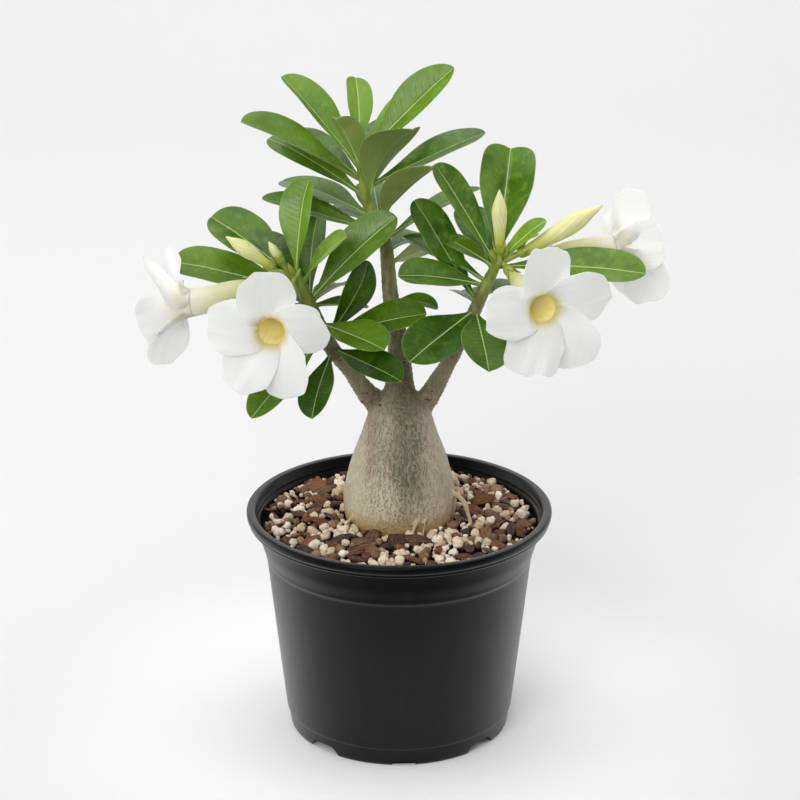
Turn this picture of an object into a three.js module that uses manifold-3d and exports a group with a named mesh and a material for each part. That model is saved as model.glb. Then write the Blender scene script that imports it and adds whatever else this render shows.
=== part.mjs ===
// A desert rose (adenium) in flower, in a round plastic nursery pot.
// Millimetres, +Z up. The origin is under the middle of the pot, on the surface it stands on.
// The plant is seen from the front along +Y, with +X to the right.

import * as THREE from 'three';
import { mergeVertices } from 'three/addons/utils/BufferGeometryUtils.js';
import Module from 'manifold-3d';

const wasm = await Module();
wasm.setup();

// Clearance between pieces that touch.
const GAP = 0.3;

// Pot: a 6.5 inch round nursery pot.
const POT_RIM_RADIUS = 82.4;
const POT_HEIGHT = 125.4;
const POT_WALL = 1.7;
const POT_FLOOR = 2.4;
const POT_SHOULDER_Z = 100.4;
const POT_SHOULDER_RADIUS = 71.9;
const POT_NECK_RADIUS = 76.1;
const POT_STEP_Z = 10.5;
const POT_STEP_RADIUS = 62;
const POT_FOOT_RADIUS = 58.5;
const POT_SEGMENTS = 36;
const RIM_ROLL = 6.3;
const RIM_TOP_WIDTH = 4.1;
const DRAIN_WIDTH = 17;
const DRAIN_HEIGHT = 5.2;
const DRAIN_DEPTH = 12;
const DRAIN_OUTER_RADIUS = 63;
const DRAIN_HOLE_RADIUS = 3.5;
const DRAIN_HOLE_CENTRE = 56;
const NOTCH_WIDTH = 12.5;
const NOTCH_HEIGHT = 1.7;
const NOTCH_DEPTH = 3;
const NOTCH_OUTER_RADIUS = 61;

// Potting mix: its level at the wall and beside the trunk.
const MIX_EDGE_Z = 117.6;
const MIX_MIDDLE_Z = 119;
const MIX_RADIUS = 74;
const MIX_SEGMENTS = 24;
const CHIP_COUNT = 22;
const CHIP_REACH = 8;
const GRAIN_COUNT = 32;
const GRAIN_REACH = 3.8;

// Trunk: its foot stands in the mix, a little behind the middle of the pot.
const TRUNK_X = 0.3;
const TRUNK_Y = 5;
const TRUNK_FOOT_Z = 92;
const TRUNK_SIDES = 16;
const BRANCH_SIDES = 10;
const TRUNK_CLEAR_RADIUS = 31;

// Leaves.
const BLADE_THICKNESS = 0.9;
const PETIOLE_THICKNESS = 1.7;
const PETIOLE_HALF_WIDTH = 1.1;
const LEAF_FOLD = 0.28;
const LEAF_WIDEST = 0.66;
const LEAF_STATIONS = [0, 0.15, 0.4, 0.65, 0.88, 1];

// Flowers.
const PETAL_THICKNESS = 1;
const PETAL_WIDEST = 0.66;
const PETAL_STATIONS = [0, 0.26, 0.56, 0.84, 1];
const PETAL_ACROSS = [-1, -0.45, 0.45, 1];
const PETAL_PITCH = 0.34;
const PETAL_BASE_HALF_WIDTH = 5;
const MOUTH_RADIUS = 7.6;
const TUBE_WALL = 1;
const STALK_RADIUS = 1.5;
const SEPALS = 5;
const BLOOM_SEPAL = 6.5;
const BUD_SEPAL = 5;

const { cos, sin, PI, sqrt, abs, max, min, hypot } = Math;
const radians = THREE.MathUtils.degToRad;
const vector = (x, y, z) => new THREE.Vector3(x, y, z);
const UP = vector(0, 0, 1);
const BACK = vector(0, 1, 0);

// Solids

function seeded(seed) {
  let state = seed;
  return () => {
    state = (state + 0x6d2b79f5) | 0;
    let mixed = Math.imul(state ^ (state >>> 15), 1 | state);
    mixed = (mixed + Math.imul(mixed ^ (mixed >>> 7), 61 | mixed)) ^ mixed;
    return ((mixed ^ (mixed >>> 14)) >>> 0) / 4294967296;
  };
}

function enclosedVolume(points, triangles) {
  let volume = 0;
  for (let i = 0; i < triangles.length; i += 3) {
    const [a, b, c] = [points[triangles[i]], points[triangles[i + 1]], points[triangles[i + 2]]];
    volume += a.dot(b.clone().cross(c));
  }
  return volume / 6;
}

// A closed surface over points, with its faces turned outwards.
function closedGeometry(points, triangles) {
  const outward = enclosedVolume(points, triangles) > 0;
  const index = outward ? triangles : triangles.map((_, i) => triangles[i - (i % 3) + 2 - (i % 3)]);
  return new THREE.BufferGeometry().setFromPoints(points).setIndex(index);
}

function solidOf(geometry) {
  const plain = geometry.clone();
  plain.deleteAttribute('normal');
  plain.deleteAttribute('uv');
  const merged = mergeVertices(plain, 1e-4);
  return new wasm.Manifold(new wasm.Mesh({
    numProp: 3,
    vertProperties: new Float32Array(merged.attributes.position.array),
    triVerts: new Uint32Array(merged.index.array),
  }));
}

function geometryOf(solid) {
  const mesh = solid.getMesh();
  const geometry = new THREE.BufferGeometry();
  geometry.setAttribute('position', new THREE.BufferAttribute(mesh.vertProperties, 3));
  geometry.setIndex(new THREE.BufferAttribute(mesh.triVerts, 1));
  return geometry;
}

function join(solids) {
  return solids.reduce((whole, solid) => whole.add(solid));
}

// The one body that remains when loose scraps are dropped.
function largestBody(solid) {
  const bodies = solid.decompose();
  return bodies.reduce((best, body) => (body.volume() > best.volume() ? body : best));
}

// A skin over rings of points, closed by a flat fan at each end.
function ringSkin(rings) {
  const count = rings[0].length;
  const triangles = [];
  for (let i = 0; i + 1 < rings.length; i += 1) {
    for (let j = 0; j < count; j += 1) {
      const a = i * count + j;
      const b = i * count + ((j + 1) % count);
      triangles.push(a, b, b + count, a, b + count, a + count);
    }
  }
  const last = (rings.length - 1) * count;
  for (let j = 1; j + 1 < count; j += 1) {
    triangles.push(0, j + 1, j);
    triangles.push(last, last + j, last + j + 1);
  }
  return closedGeometry(rings.flat(), triangles);
}

// Points round a curve at a distance along it, or past its ends. corners is the list of the
// points' [extra distance, radius].
function ringRound(curve, distance, corners, reference) {
  const length = curve.getLength();
  const share = min(1, max(0, distance / length));
  const tangent = curve.getTangentAt(share);
  const centre = curve.getPointAt(share).addScaledVector(tangent, distance - share * length);
  const across = tangent.clone().cross(reference).normalize();
  const other = across.clone().cross(tangent);
  return corners.map(([extra, radius], k) => {
    const angle = (2 * PI * k) / corners.length;
    return centre.clone().addScaledVector(tangent, extra)
      .addScaledVector(across, radius * cos(angle)).addScaledVector(other, radius * sin(angle));
  });
}

// A round bar along a curve. Each station is [distance along the curve, radius]. Stations that
// come back on themselves with smaller radii make a hollow.
function bar(curve, stations, sides, reference) {
  return ringSkin(stations.map(([distance, radius]) => (
    ringRound(curve, distance, Array(sides).fill([0, radius]), reference))));
}

// A thin blade. rows[i][j] is a pair of points: on the upper face and on the lower one. Both
// faces are split into triangles alike, so that the blade keeps its thickness.
function blade(rows) {
  const across = rows[0].length;
  const upper = (i, j) => 2 * (i * across + j);
  const triangles = [];
  const wall = (p, q) => triangles.push(q, p, p + 1, q, p + 1, q + 1);
  for (let i = 0; i + 1 < rows.length; i += 1) {
    for (let j = 0; j + 1 < across; j += 1) {
      const [a, b, c, d] = [upper(i, j), upper(i, j + 1), upper(i + 1, j + 1), upper(i + 1, j)];
      triangles.push(a, b, c, a, c, d);
      triangles.push(a + 1, c + 1, b + 1, a + 1, d + 1, c + 1);
    }
    wall(upper(i, across - 1), upper(i + 1, across - 1));
    wall(upper(i + 1, 0), upper(i, 0));
  }
  for (let j = 0; j + 1 < across; j += 1) {
    wall(upper(0, j), upper(0, j + 1));
    wall(upper(rows.length - 1, j + 1), upper(rows.length - 1, j));
  }
  return closedGeometry(rows.flat(2), triangles);
}

// A turned solid: the outline runs from the axis, round the section and back to the axis.
function turned(outline, segments) {
  const points = outline.map(([radius, z]) => new THREE.Vector2(radius, z));
  return solidOf(new THREE.LatheGeometry(points, segments).rotateX(PI / 2));
}

function boxAt(width, depth, height, x, y, z, turn) {
  const box = new THREE.BoxGeometry(width, depth, height);
  return solidOf(box.translate(x, y, z).rotateZ(turn));
}

// Pot

const potOutside = [
  [0, 0],
  [POT_FOOT_RADIUS, 0],
  [POT_FOOT_RADIUS + 1.3, 1.2],
  [POT_FOOT_RADIUS + 2, 3.6],
  [POT_STEP_RADIUS - 0.7, POT_STEP_Z - 0.6],
  [POT_STEP_RADIUS, POT_STEP_Z],
  [POT_SHOULDER_RADIUS, POT_SHOULDER_Z - 0.5],
  [POT_SHOULDER_RADIUS + 0.6, POT_SHOULDER_Z + 1.5],
  [POT_NECK_RADIUS - 0.9, POT_SHOULDER_Z + 5.6],
  [POT_NECK_RADIUS, POT_HEIGHT - RIM_ROLL - 1.8],
  [POT_NECK_RADIUS + 0.7, POT_HEIGHT - RIM_ROLL],
  [POT_RIM_RADIUS - 1.4, POT_HEIGHT - RIM_ROLL + 0.2],
  [POT_RIM_RADIUS - 0.3, POT_HEIGHT - RIM_ROLL + 2],
  [POT_RIM_RADIUS, POT_HEIGHT - 1.2],
  [POT_RIM_RADIUS - 0.6, POT_HEIGHT],
];
const potInside = [
  [POT_RIM_RADIUS - 0.6 - RIM_TOP_WIDTH, POT_HEIGHT],
  [POT_RIM_RADIUS - 1.4 - RIM_TOP_WIDTH, POT_HEIGHT - 1],
  [POT_NECK_RADIUS + 0.5, POT_HEIGHT - 3.4],
  [POT_NECK_RADIUS - POT_WALL, POT_HEIGHT - RIM_ROLL - 1.8],
  [POT_NECK_RADIUS - 0.9 - POT_WALL, POT_SHOULDER_Z + 5.1],
  [POT_SHOULDER_RADIUS - POT_WALL, POT_SHOULDER_Z],
  [POT_STEP_RADIUS - POT_WALL, POT_STEP_Z],
  [POT_FOOT_RADIUS, POT_FLOOR],
  [0, POT_FLOOR],
];

// The raised drain channels lie between the pot's four feet. Each has a roof inside the pot.
function drainBoxes(grow, bottom) {
  return [0, 1, 2, 3].map((quarter) => {
    const turn = PI / 4 + (quarter * PI) / 2;
    const height = DRAIN_HEIGHT + grow - bottom;
    const radius = DRAIN_OUTER_RADIUS - DRAIN_DEPTH / 2;
    return boxAt(DRAIN_DEPTH + 2 * grow, DRAIN_WIDTH + 2 * grow, height, radius, 0,
      bottom + height / 2, turn);
  });
}

function drainHoles() {
  return [0, 1, 2, 3].map((quarter) => {
    const turn = PI / 4 + (quarter * PI) / 2;
    const [x, y] = [DRAIN_HOLE_CENTRE * cos(turn), DRAIN_HOLE_CENTRE * sin(turn)];
    const height = 2 * DRAIN_HEIGHT;
    const hole = new THREE.CylinderGeometry(DRAIN_HOLE_RADIUS, DRAIN_HOLE_RADIUS, height, 12);
    return solidOf(hole.rotateX(PI / 2).translate(x, y, DRAIN_HEIGHT));
  });
}

function footNotches() {
  return [0, 1, 2, 3].map((quarter) => {
    const turn = (quarter * PI) / 2;
    const radius = NOTCH_OUTER_RADIUS - NOTCH_DEPTH / 2;
    return boxAt(NOTCH_DEPTH + 2, NOTCH_WIDTH, 2 * NOTCH_HEIGHT, radius, 0, 0, turn);
  });
}

function makePot() {
  const envelope = turned([...potOutside, [0, POT_HEIGHT]], POT_SEGMENTS);
  const shell = turned([...potOutside, ...potInside], POT_SEGMENTS);
  const roofs = join(drainBoxes(POT_WALL, 1)).intersect(envelope);
  const cuts = join([...drainBoxes(0, -1), ...drainHoles(), ...footNotches()]);
  return largestBody(shell.add(roofs).subtract(cuts));
}

// Trunk: swollen foot, three branches and a few thin roots above the mix

// Radius of the swollen foot at heights above its base.
const caudexProfile = [
  [0, 12], [12, 24.5], [24, 29.1], [35, 30.5], [43, 29.5], [53, 27.3], [61, 25.2], [69, 22.3],
  [77, 19.6], [85, 17.3], [93, 13.4], [98, 9],
];
const caudexLine = new THREE.LineCurve3(
  vector(TRUNK_X, TRUNK_Y, TRUNK_FOOT_Z), vector(TRUNK_X, TRUNK_Y, TRUNK_FOOT_Z + 100));

// Each branch runs on as the axis of a leafy shoot. line is the way of its middle, radii give its
// thickness at heights, and split is the height where bark gives way to green.
const branches = {
  left: {
    line: [
      [-5, 5, 168], [-12.8, 5, 184], [-17.6, 3, 190], [-25.9, -1, 204], [-34.1, -5, 215.5],
      [-40.2, -8, 228], [-45.2, -9, 240], [-49.7, -10, 251], [-53.2, -10, 260],
    ],
    radii: [
      [168, 8], [184, 6.4], [194, 5.3], [206, 4.5], [220, 4.1], [240, 3.6], [255, 2.9], [261, 1.6],
    ],
    split: 214,
  },
  centre: {
    line: [
      [0.3, 5, 172], [0.4, 5, 186], [0.4, 6, 203], [-0.6, 8, 220], [-3.3, 9, 233.5],
      [-4.8, 10, 244], [-5.9, 11, 257.5], [-7.4, 12, 271], [-12.6, 13, 282.7], [-16.7, 14, 292],
      [-18.2, 15, 302.5], [-20.2, 15, 313.5], [-21.2, 15, 325],
    ],
    radii: [
      [172, 12], [186, 10], [193, 8.2], [203, 7], [214, 6], [225, 5.1], [236, 4.5], [250, 4],
      [270, 3.5], [295, 3], [312, 2.4], [325, 1.3],
    ],
    split: 233,
  },
  right: {
    line: [
      [5.5, 5, 168], [13.2, 5, 183], [16.3, 3, 188.5], [22, -1, 200], [29.7, -6, 216.5],
      [34.3, -9, 228.5], [38.8, -11, 239], [43.8, -13, 252], [48.8, -13, 263], [52.8, -13, 271.5],
    ],
    radii: [
      [168, 8], [183, 6.4], [193, 5.3], [205, 4.4], [218, 3.9], [240, 3.5], [258, 3.1], [272, 1.8],
    ],
    split: 235,
  },
};

for (const branch of Object.values(branches)) {
  branch.curve = new THREE.CatmullRomCurve3(branch.line.map((p) => vector(...p)));
  branch.length = branch.curve.getLength();
}

// How far along a rising curve the height z is reached.
function distanceAtHeight(curve, z) {
  let low = 0;
  let high = 1;
  for (let step = 0; step < 30; step += 1) {
    const middle = (low + high) / 2;
    if (curve.getPointAt(middle).z < z) low = middle;
    else high = middle;
  }
  return low * curve.getLength();
}

function radiusAtHeight(radii, z) {
  const next = radii.findIndex(([height]) => height >= z);
  if (next < 1) return radii[next < 0 ? radii.length - 1 : 0][1];
  const [[z0, r0], [z1, r1]] = [radii[next - 1], radii[next]];
  return THREE.MathUtils.lerp(r0, r1, (z - z0) / (z1 - z0));
}

// The length of a branch between two distances, as a bar of its own taper.
function branchBar(branch, from, to, pieces, sides) {
  const stations = Array.from({ length: pieces + 1 }, (_, k) => {
    const distance = from + ((to - from) * k) / pieces;
    const z = branch.curve.getPointAt(min(1, distance / branch.length)).z;
    return [distance, radiusAtHeight(branch.radii, z)];
  });
  return solidOf(bar(branch.curve, stations, sides, BACK));
}

const surfaceRoots = [
  {
    line: [
      [24, -1, 139], [30, -2, 137.5], [34.2, -4, 134.3], [36.5, -6, 127], [39, -8, 119], [41, -9, 113],
    ],
    radius: 1.7,
  },
  { line: [[9, -22, 133], [8.6, -24.6, 128.5], [6.5, -26.5, 122.5], [5, -28, 115]], radius: 1.1 },
  { line: [[-23, -12, 130], [-27.5, -15.5, 124], [-31, -18, 117], [-33, -20, 112]], radius: 1.3 },
  { line: [[-12, 32, 133], [-16, 36.5, 127], [-20, 41, 120], [-23, 44, 113]], radius: 1.7 },
];

// The swollen foot and its roots, or the hole that they stand in when they are grown a little.
function makeFoot(grow) {
  const foot = caudexProfile.map(([distance, radius]) => [distance, radius + grow]);
  foot[0] = [-grow, foot[0][1]];
  const parts = [solidOf(bar(caudexLine, foot, TRUNK_SIDES, BACK))];
  for (const root of surfaceRoots) {
    const curve = new THREE.CatmullRomCurve3(root.line.map((p) => vector(...p)));
    const length = curve.getLength();
    const stations = [0, 0.25, 0.5, 0.75, 1].map((t) => (
      [t * length, root.radius * (1.1 - 0.3 * t) + grow]));
    parts.push(solidOf(bar(curve, stations, 6, BACK)));
  }
  return join(parts);
}

function makeTrunk() {
  const limbs = Object.values(branches).map((branch) => {
    const split = distanceAtHeight(branch.curve, branch.split);
    return branchBar(branch, 0, split, 6, BRANCH_SIDES);
  });
  return join([makeFoot(0), ...limbs]);
}

// Leaves

function leafHalfWidth(t, width) {
  if (t > LEAF_WIDEST) {
    const past = (t - LEAF_WIDEST) / (1 - LEAF_WIDEST);
    return max(0.5, (width / 2) * sqrt(max(0, 1 - past * past)));
  }
  const share = max(0, (t - 0.07) / (LEAF_WIDEST - 0.07));
  return PETIOLE_HALF_WIDTH + (width / 2 - PETIOLE_HALF_WIDTH) * ((1 - cos(PI * share)) / 2) ** 0.8;
}

// One leaf. turn is its compass direction, 0 to the right and 90 to the back. rise is its slope
// above level, arch how far it bends over from end to end, and roll its twist about its length.
// fold is how steeply its two halves rise from the midrib.
function makeLeaf(base, turn, rise, length, width, arch, roll, fold = LEAF_FOLD) {
  const [phi, slope, twist, bend] = [turn, rise, roll, arch].map(radians);
  const along = vector(cos(slope) * cos(phi), cos(slope) * sin(phi), sin(slope));
  const level = vector(-sin(phi), cos(phi), 0);
  const above = along.clone().cross(level);
  const side = level.clone().multiplyScalar(cos(twist)).addScaledVector(above, sin(twist));
  const face = above.multiplyScalar(cos(twist)).addScaledVector(level, -sin(twist));
  const rows = LEAF_STATIONS.map((t) => {
    const angle = (t - 0.5) * bend;
    const radius = length / (2 * sin(bend / 2));
    const spine = base.clone().addScaledVector(along, length / 2 + radius * sin(angle))
      .addScaledVector(face, radius * (cos(angle) - cos(bend / 2)));
    const normal = face.clone().multiplyScalar(cos(angle)).addScaledVector(along, sin(angle));
    const half = leafHalfWidth(t, width);
    const thickness = t < 0.2 ? PETIOLE_THICKNESS : BLADE_THICKNESS;
    return [-1, 0, 1].map((across) => {
      const upper = spine.clone().addScaledVector(side, across * half)
        .addScaledVector(normal, abs(across) * half * fold);
      return [upper, upper.clone().addScaledVector(normal, -thickness)];
    });
  });
  return solidOf(blade(rows));
}

// Leaves on each shoot: height of the base, turn, rise, length, width, arch, roll and, where it
// isn't the common one, fold.
const leaves = {
  centre: [
    [308, 149, 43, 66.5, 22.5, 7, -3, 0.5],
    [319, 93, 47, 46, 15, 8, 20],
    [314.5, 2, 45.5, 66.5, 22.5, 4, 39, 0.45],
    [318, 33, 38, 48, 15, 10, 15],
    [311, 220, 62, 33, 15, 6, 25, 0.7],
    [291.5, 317, 55.5, 57.5, 29.5, 56, -10, 0.4],
    [299.5, 6.5, 24.5, 69, 23, 3, 13, 0.25],
    [280.5, 309, 43, 60.5, 27, 21, -3, 0.25],
    [303, 191, 29.5, 73, 25.5, 8.5, -14.5, 0.47],
    [303, 139, 20, 58, 22, 8, 5],
    [294.5, 151.5, 23.5, 64, 22, 7.5, -13.5, 0.22],
    [283, 142, 9.5, 64.5, 26, 16.5, -4.5, 0.15],
    [275.5, 174.5, 16.5, 65.5, 21, 2, -11, 0.31],
    [280, 128, -3, 50, 20, 15, 0],
    [296, 75, 30, 58, 22, 15, 0],
    [276, 95, 12, 56, 22, 15, 0],
    [272, 33, 18, 64, 19, 10, -5],
    [259, 50, 1, 45, 20, 6, -60],
    [266, 62, -3, 46, 20, 10, 0],
    [238, 350, -4, 25, 14, 50, 10],
  ],
  right: [
    [265, 79, 47, 70, 27.5, 21, 8, 0.5],
    [266, 151, 54, 61, 20, 3, -10.5, 0.27],
    [244.5, 147.5, 53, 63.5, 21.5, 3, -18.5, 0.26],
    [264.5, 146, 19.5, 35, 12.5, 9, -16.5, 0.24],
    [255, 195, 12, 48, 22, 10, -25],
    [244, 102, -6, 38, 18, 10, 0],
    [241.5, 230, -14.5, 55, 27, 8, -27, 0.25],
    [241, 277, -17, 52, 26, 10, -10],
    [268, 357, 44, 33, 11, 15, 35],
    [266, 55, 12, 40, 13, 8, -15],
    [265, 340, 4, 80, 24, 14, 28],
    [257, 147, 17, 55, 20, 10, 0],
    [251, 56, -15, 50, 20, 12, 15],
    [262, 104, 24, 55, 22, 12, 0],
  ],
  left: [
    [260, 66.5, 74, 49.5, 20.5, 24, -15, 0.55],
    [256, 157, 31, 58.5, 26, 2, -30, 0.42],
    [251, 165, 9, 72.5, 24, 2, -29, 0.3],
    [243, 87, 35, 62, 22, 10, -35],
    [254.5, 320, 46.5, 44.5, 18, 15, 40, 0.3],
    [244.5, 4.5, 45, 64.5, 24, 18, 39, 0.4],
    [224.5, 53, 31, 54.5, 23.5, 3, -80, 0.1],
    [233, 314, -2, 50, 24, 10, 15],
    [225, 350, 17, 56, 22, 12, 28],
    [218, 320, -8, 48, 22, 12, 18],
    [217, 257, -25, 50, 19, 6, 13, 0.22],
    [225, 221, -33, 60, 22, 10, -10],
    [245, 213.5, -3.5, 60, 20, 2, -5.5, 0.12],
    [244, 66, -2, 45, 18, 10, -15],
    [243, 33, -10, 36, 16, 6, 0],
    [245, 105, -38, 38, 16, 10, 0],
    [249, 122, 22, 56, 22, 12, 0],
    [237, 116, 8, 54, 22, 15, 0],
  ],
};

// Flowers and buds

// A frame about a flower's axis: out along the axis, right and up as seen by one who faces it.
function facingFrame(azimuth, elevation) {
  const [a, e] = [azimuth, elevation].map(radians);
  const out = vector(cos(e) * cos(a), cos(e) * sin(a), sin(e));
  const up = UP.clone().addScaledVector(out, -out.z).normalize();
  return { out, up, right: up.clone().cross(out) };
}

// Radius of a flower's tube at a share of its length: slim at the calyx, then a wide funnel. The
// petals carry its inside on round the mouth.
const tubeProfile = [
  [0, 1.7], [0.1, 2.4], [0.2, 3.9], [0.34, 5.5], [0.58, 6.6], [0.8, 7.2], [0.93, MOUTH_RADIUS],
];

function tubeCurve(flower) {
  const { out } = facingFrame(flower.azimuth, flower.elevation);
  const [foot, mouth] = [vector(...flower.foot), vector(...flower.mouth)];
  const reach = foot.distanceTo(mouth) * 0.36;
  const bend = mouth.clone().addScaledVector(out, -reach);
  const start = foot.clone().addScaledVector(bend.clone().sub(foot).normalize(), reach);
  return new THREE.CubicBezierCurve3(foot, start, bend, mouth);
}

function petalHalfWidth(t, width) {
  const half = width / 2;
  if (t > PETAL_WIDEST) {
    const past = (t - PETAL_WIDEST) / (1 - PETAL_WIDEST);
    return half * sqrt(max(0.15, 1 - past * past));
  }
  const share = sin((PI / 2) * (t / PETAL_WIDEST)) ** 0.9;
  return THREE.MathUtils.lerp(PETAL_BASE_HALF_WIDTH, half, share);
}

// One petal: angle round the axis, radius of its tip, reach of its tip along the axis, width.
// Its far edge lies over the next petal, and its rim is waved.
function makePetal(flower, [angle, radius, reach, width], order) {
  const { out, up, right } = facingFrame(flower.azimuth, flower.elevation);
  const round = radians(angle);
  const outward = right.clone().multiplyScalar(cos(round)).addScaledVector(up, sin(round));
  const side = out.clone().cross(outward);
  const rib = new THREE.QuadraticBezierCurve(
    new THREE.Vector2(MOUTH_RADIUS - 1.1, -3),
    new THREE.Vector2(MOUTH_RADIUS + 1.5, max(2.2, reach * 0.5)),
    new THREE.Vector2(radius, reach));
  const mouth = vector(...flower.mouth);
  const rows = PETAL_STATIONS.map((t) => {
    const [point, tangent] = [rib.getPoint(t), rib.getTangent(t)];
    const normal = out.clone().multiplyScalar(tangent.x).addScaledVector(outward, -tangent.y);
    const half = petalHalfWidth(t, width);
    return PETAL_ACROSS.map((across) => {
      const wave = 0.9 * t * across * across * sin(5 * t + 2.1 * across + 1.7 * order);
      const lift = across * half * PETAL_PITCH * t + wave - 1.2 * t * across * across;
      const upper = mouth.clone().addScaledVector(outward, point.x).addScaledVector(out, point.y)
        .addScaledVector(side, across * half).addScaledVector(normal, lift);
      return [upper, upper.clone().addScaledVector(normal, -PETAL_THICKNESS)];
    });
  });
  return solidOf(blade(rows));
}

function makeBloom(flower) {
  const curve = tubeCurve(flower);
  const length = curve.getLength();
  const outer = tubeProfile.map(([share, radius]) => [share * length, radius]);
  const inner = tubeProfile.slice(3).reverse()
    .map(([share, radius]) => [share * length, radius - TUBE_WALL]);
  const tube = solidOf(bar(curve, [...outer, ...inner], 10, flower.reference));
  return join([tube, ...flower.petals.map((row, order) => makePetal(flower, row, order))]);
}

const SIDEWAYS = vector(1, 0, 0);
const blooms = {
  left_front: {
    shoot: 'left', stalkFrom: 252, foot: [-55.5, -18, 255.5], mouth: [-65.8, -54, 242.4],
    azimuth: -102, elevation: 6, reference: SIDEWAYS,
    petals: [[12, 31, 3, 27], [95, 32, 4, 28], [173, 32, 3, 27], [238, 33.5, 4, 28], [294, 34, 5, 28]],
  },
  left_side: {
    shoot: 'left', stalkFrom: 255, foot: [-73, -17, 259], mouth: [-112, -22, 248],
    azimuth: 170, elevation: -6, reference: UP,
    petals: [[-12, 19, 20, 27], [55, 31, 19, 28], [112, 29, 12, 27], [198, 28, 5, 26], [268, 33, 12, 27]],
  },
  right_front: {
    shoot: 'right', stalkFrom: 262, foot: [56, -21, 266], mouth: [73.7, -59, 256.2],
    azimuth: -76, elevation: 6, reference: SIDEWAYS,
    petals: [[15, 35, 4, 27], [87, 33, 4, 27], [178, 32, 3, 26], [250, 34, 4, 28], [306, 35, 5, 28]],
  },
  right_back: {
    shoot: 'right', stalkFrom: 266, foot: [73, -8, 271], mouth: [115.5, -1, 272.5],
    azimuth: 22, elevation: 3, reference: UP,
    petals: [[22, 29, 7, 26], [95, 30, 8, 26], [165, 30, 10, 27], [228, 33, 11, 28], [285, 35, 9, 26]],
  },
};

// Closed buds: rolled spindles, slim at the foot and pointed. Profiles give share and radius.
const buds = {
  right_upright: {
    shoot: 'right', stalkFrom: 264, foot: [51.6, -17.5, 275.5], tip: [51.1, -17.5, 307.5], sag: 0,
    profile: [[0, 2.1], [0.3, 3], [0.55, 3.9], [0.64, 4], [0.78, 3], [0.9, 1.6], [1, 0.3]],
  },
  right_long: {
    shoot: 'right', stalkFrom: 266, foot: [63, -15.5, 273.5], tip: [104.4, -12, 297.8], sag: -1.5,
    profile: [[0, 1.9], [0.2, 3.1], [0.42, 4.5], [0.62, 5], [0.74, 4.2], [0.86, 2.4], [1, 0.5]],
  },
  left_long: {
    shoot: 'left', stalkFrom: 252, foot: [-66, -12, 264.5], tip: [-89, -14, 281.5], sag: 0.5,
    profile: [[0, 1.8], [0.3, 2.9], [0.5, 4], [0.62, 4.1], [0.78, 2.9], [0.9, 1.5], [1, 0.3]],
  },
  left_small: {
    shoot: 'left', stalkFrom: 255, foot: [-61.5, -9, 267], tip: [-67.3, -10, 277.5], sag: 0,
    profile: [[0, 1.4], [0.4, 2.3], [0.65, 2.2], [0.85, 1.2], [1, 0.3]],
  },
};

function radiusInProfile(profile, share) {
  const next = max(1, profile.findIndex(([s]) => s >= share));
  const [[s0, r0], [s1, r1]] = [profile[next - 1], profile[next]];
  return THREE.MathUtils.lerp(r0, r1, (share - s0) / (s1 - s0));
}

function budCurve(bud) {
  const [foot, tip] = [vector(...bud.foot), vector(...bud.tip)];
  const middle = foot.clone().lerp(tip, 0.5).addScaledVector(UP, bud.sag);
  return new THREE.QuadraticBezierCurve3(foot, middle, tip);
}

function makeBud(bud) {
  const curve = budCurve(bud);
  const length = curve.getLength();
  const stations = bud.profile.map(([share, radius]) => [share * length, radius]);
  return solidOf(bar(curve, stations, 9, BACK));
}

// The stalk from the shoot's axis and the cup that holds the foot of a flower. The rim of the cup
// runs out in five pointed sepals, and its inside keeps clear of the flower.
function makeCalyx(shoot, stalkFrom, curve, profile, reference, sepal) {
  const length = curve.getLength();
  const foot = curve.getPointAt(0);
  const tangent = curve.getTangentAt(0);
  const from = shoot.curve.getPointAt(distanceAtHeight(shoot.curve, stalkFrom) / shoot.length);
  const heel = foot.clone().addScaledVector(tangent, -3);
  const bend = heel.clone().addScaledVector(tangent, -0.4 * heel.distanceTo(from));
  const stalk = new THREE.CatmullRomCurve3([from, bend, heel, foot]);
  const clearRadius = (distance) => radiusInProfile(profile, max(0, distance / length)) + GAP;
  const ridge = 1.6;
  const points = 2 * SEPALS;
  const round = (radius) => Array(points).fill([0, radius]);
  const rim = (wall) => Array.from({ length: points }, (_, k) => (
    k % 2 ? [ridge, clearRadius(ridge) + wall] : [sepal, clearRadius(sepal) + 0.7 + wall]));
  const rings = [
    ringRound(stalk, 0, round(STALK_RADIUS), reference),
    ringRound(stalk, stalk.getLength() - 3, round(STALK_RADIUS), reference),
    ringRound(curve, -0.8, round(clearRadius(0) + 0.8), reference),
    ringRound(curve, 0, rim(0.9), reference),
    ringRound(curve, 0, rim(0), reference),
    ringRound(curve, -GAP, round(clearRadius(0)), reference),
  ];
  return solidOf(ringSkin(rings));
}

// Tiny green buds that crowd round a shoot's tip: foot, tip and radius.
const greenBuds = {
  left: [
    { foot: [-54, -11, 259], tip: [-57.5, -13.5, 267], radius: 1.5 },
    { foot: [-53, -12, 258], tip: [-51, -16, 265], radius: 1.3 },
  ],
  right: [
    { foot: [53, -14, 269], tip: [56, -18, 277.5], radius: 1.6 },
    { foot: [51, -14, 268], tip: [47, -16.5, 275.5], radius: 1.4 },
  ],
  centre: [],
};

function makeGreenBud({ foot, tip, radius }) {
  const line = new THREE.LineCurve3(vector(...foot), vector(...tip));
  const length = line.getLength();
  const stations = [
    [0, radius * 0.7], [0.5 * length, radius], [0.8 * length, radius * 0.6], [length, 0.25],
  ];
  return solidOf(bar(line, stations, 6, BACK));
}

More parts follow.
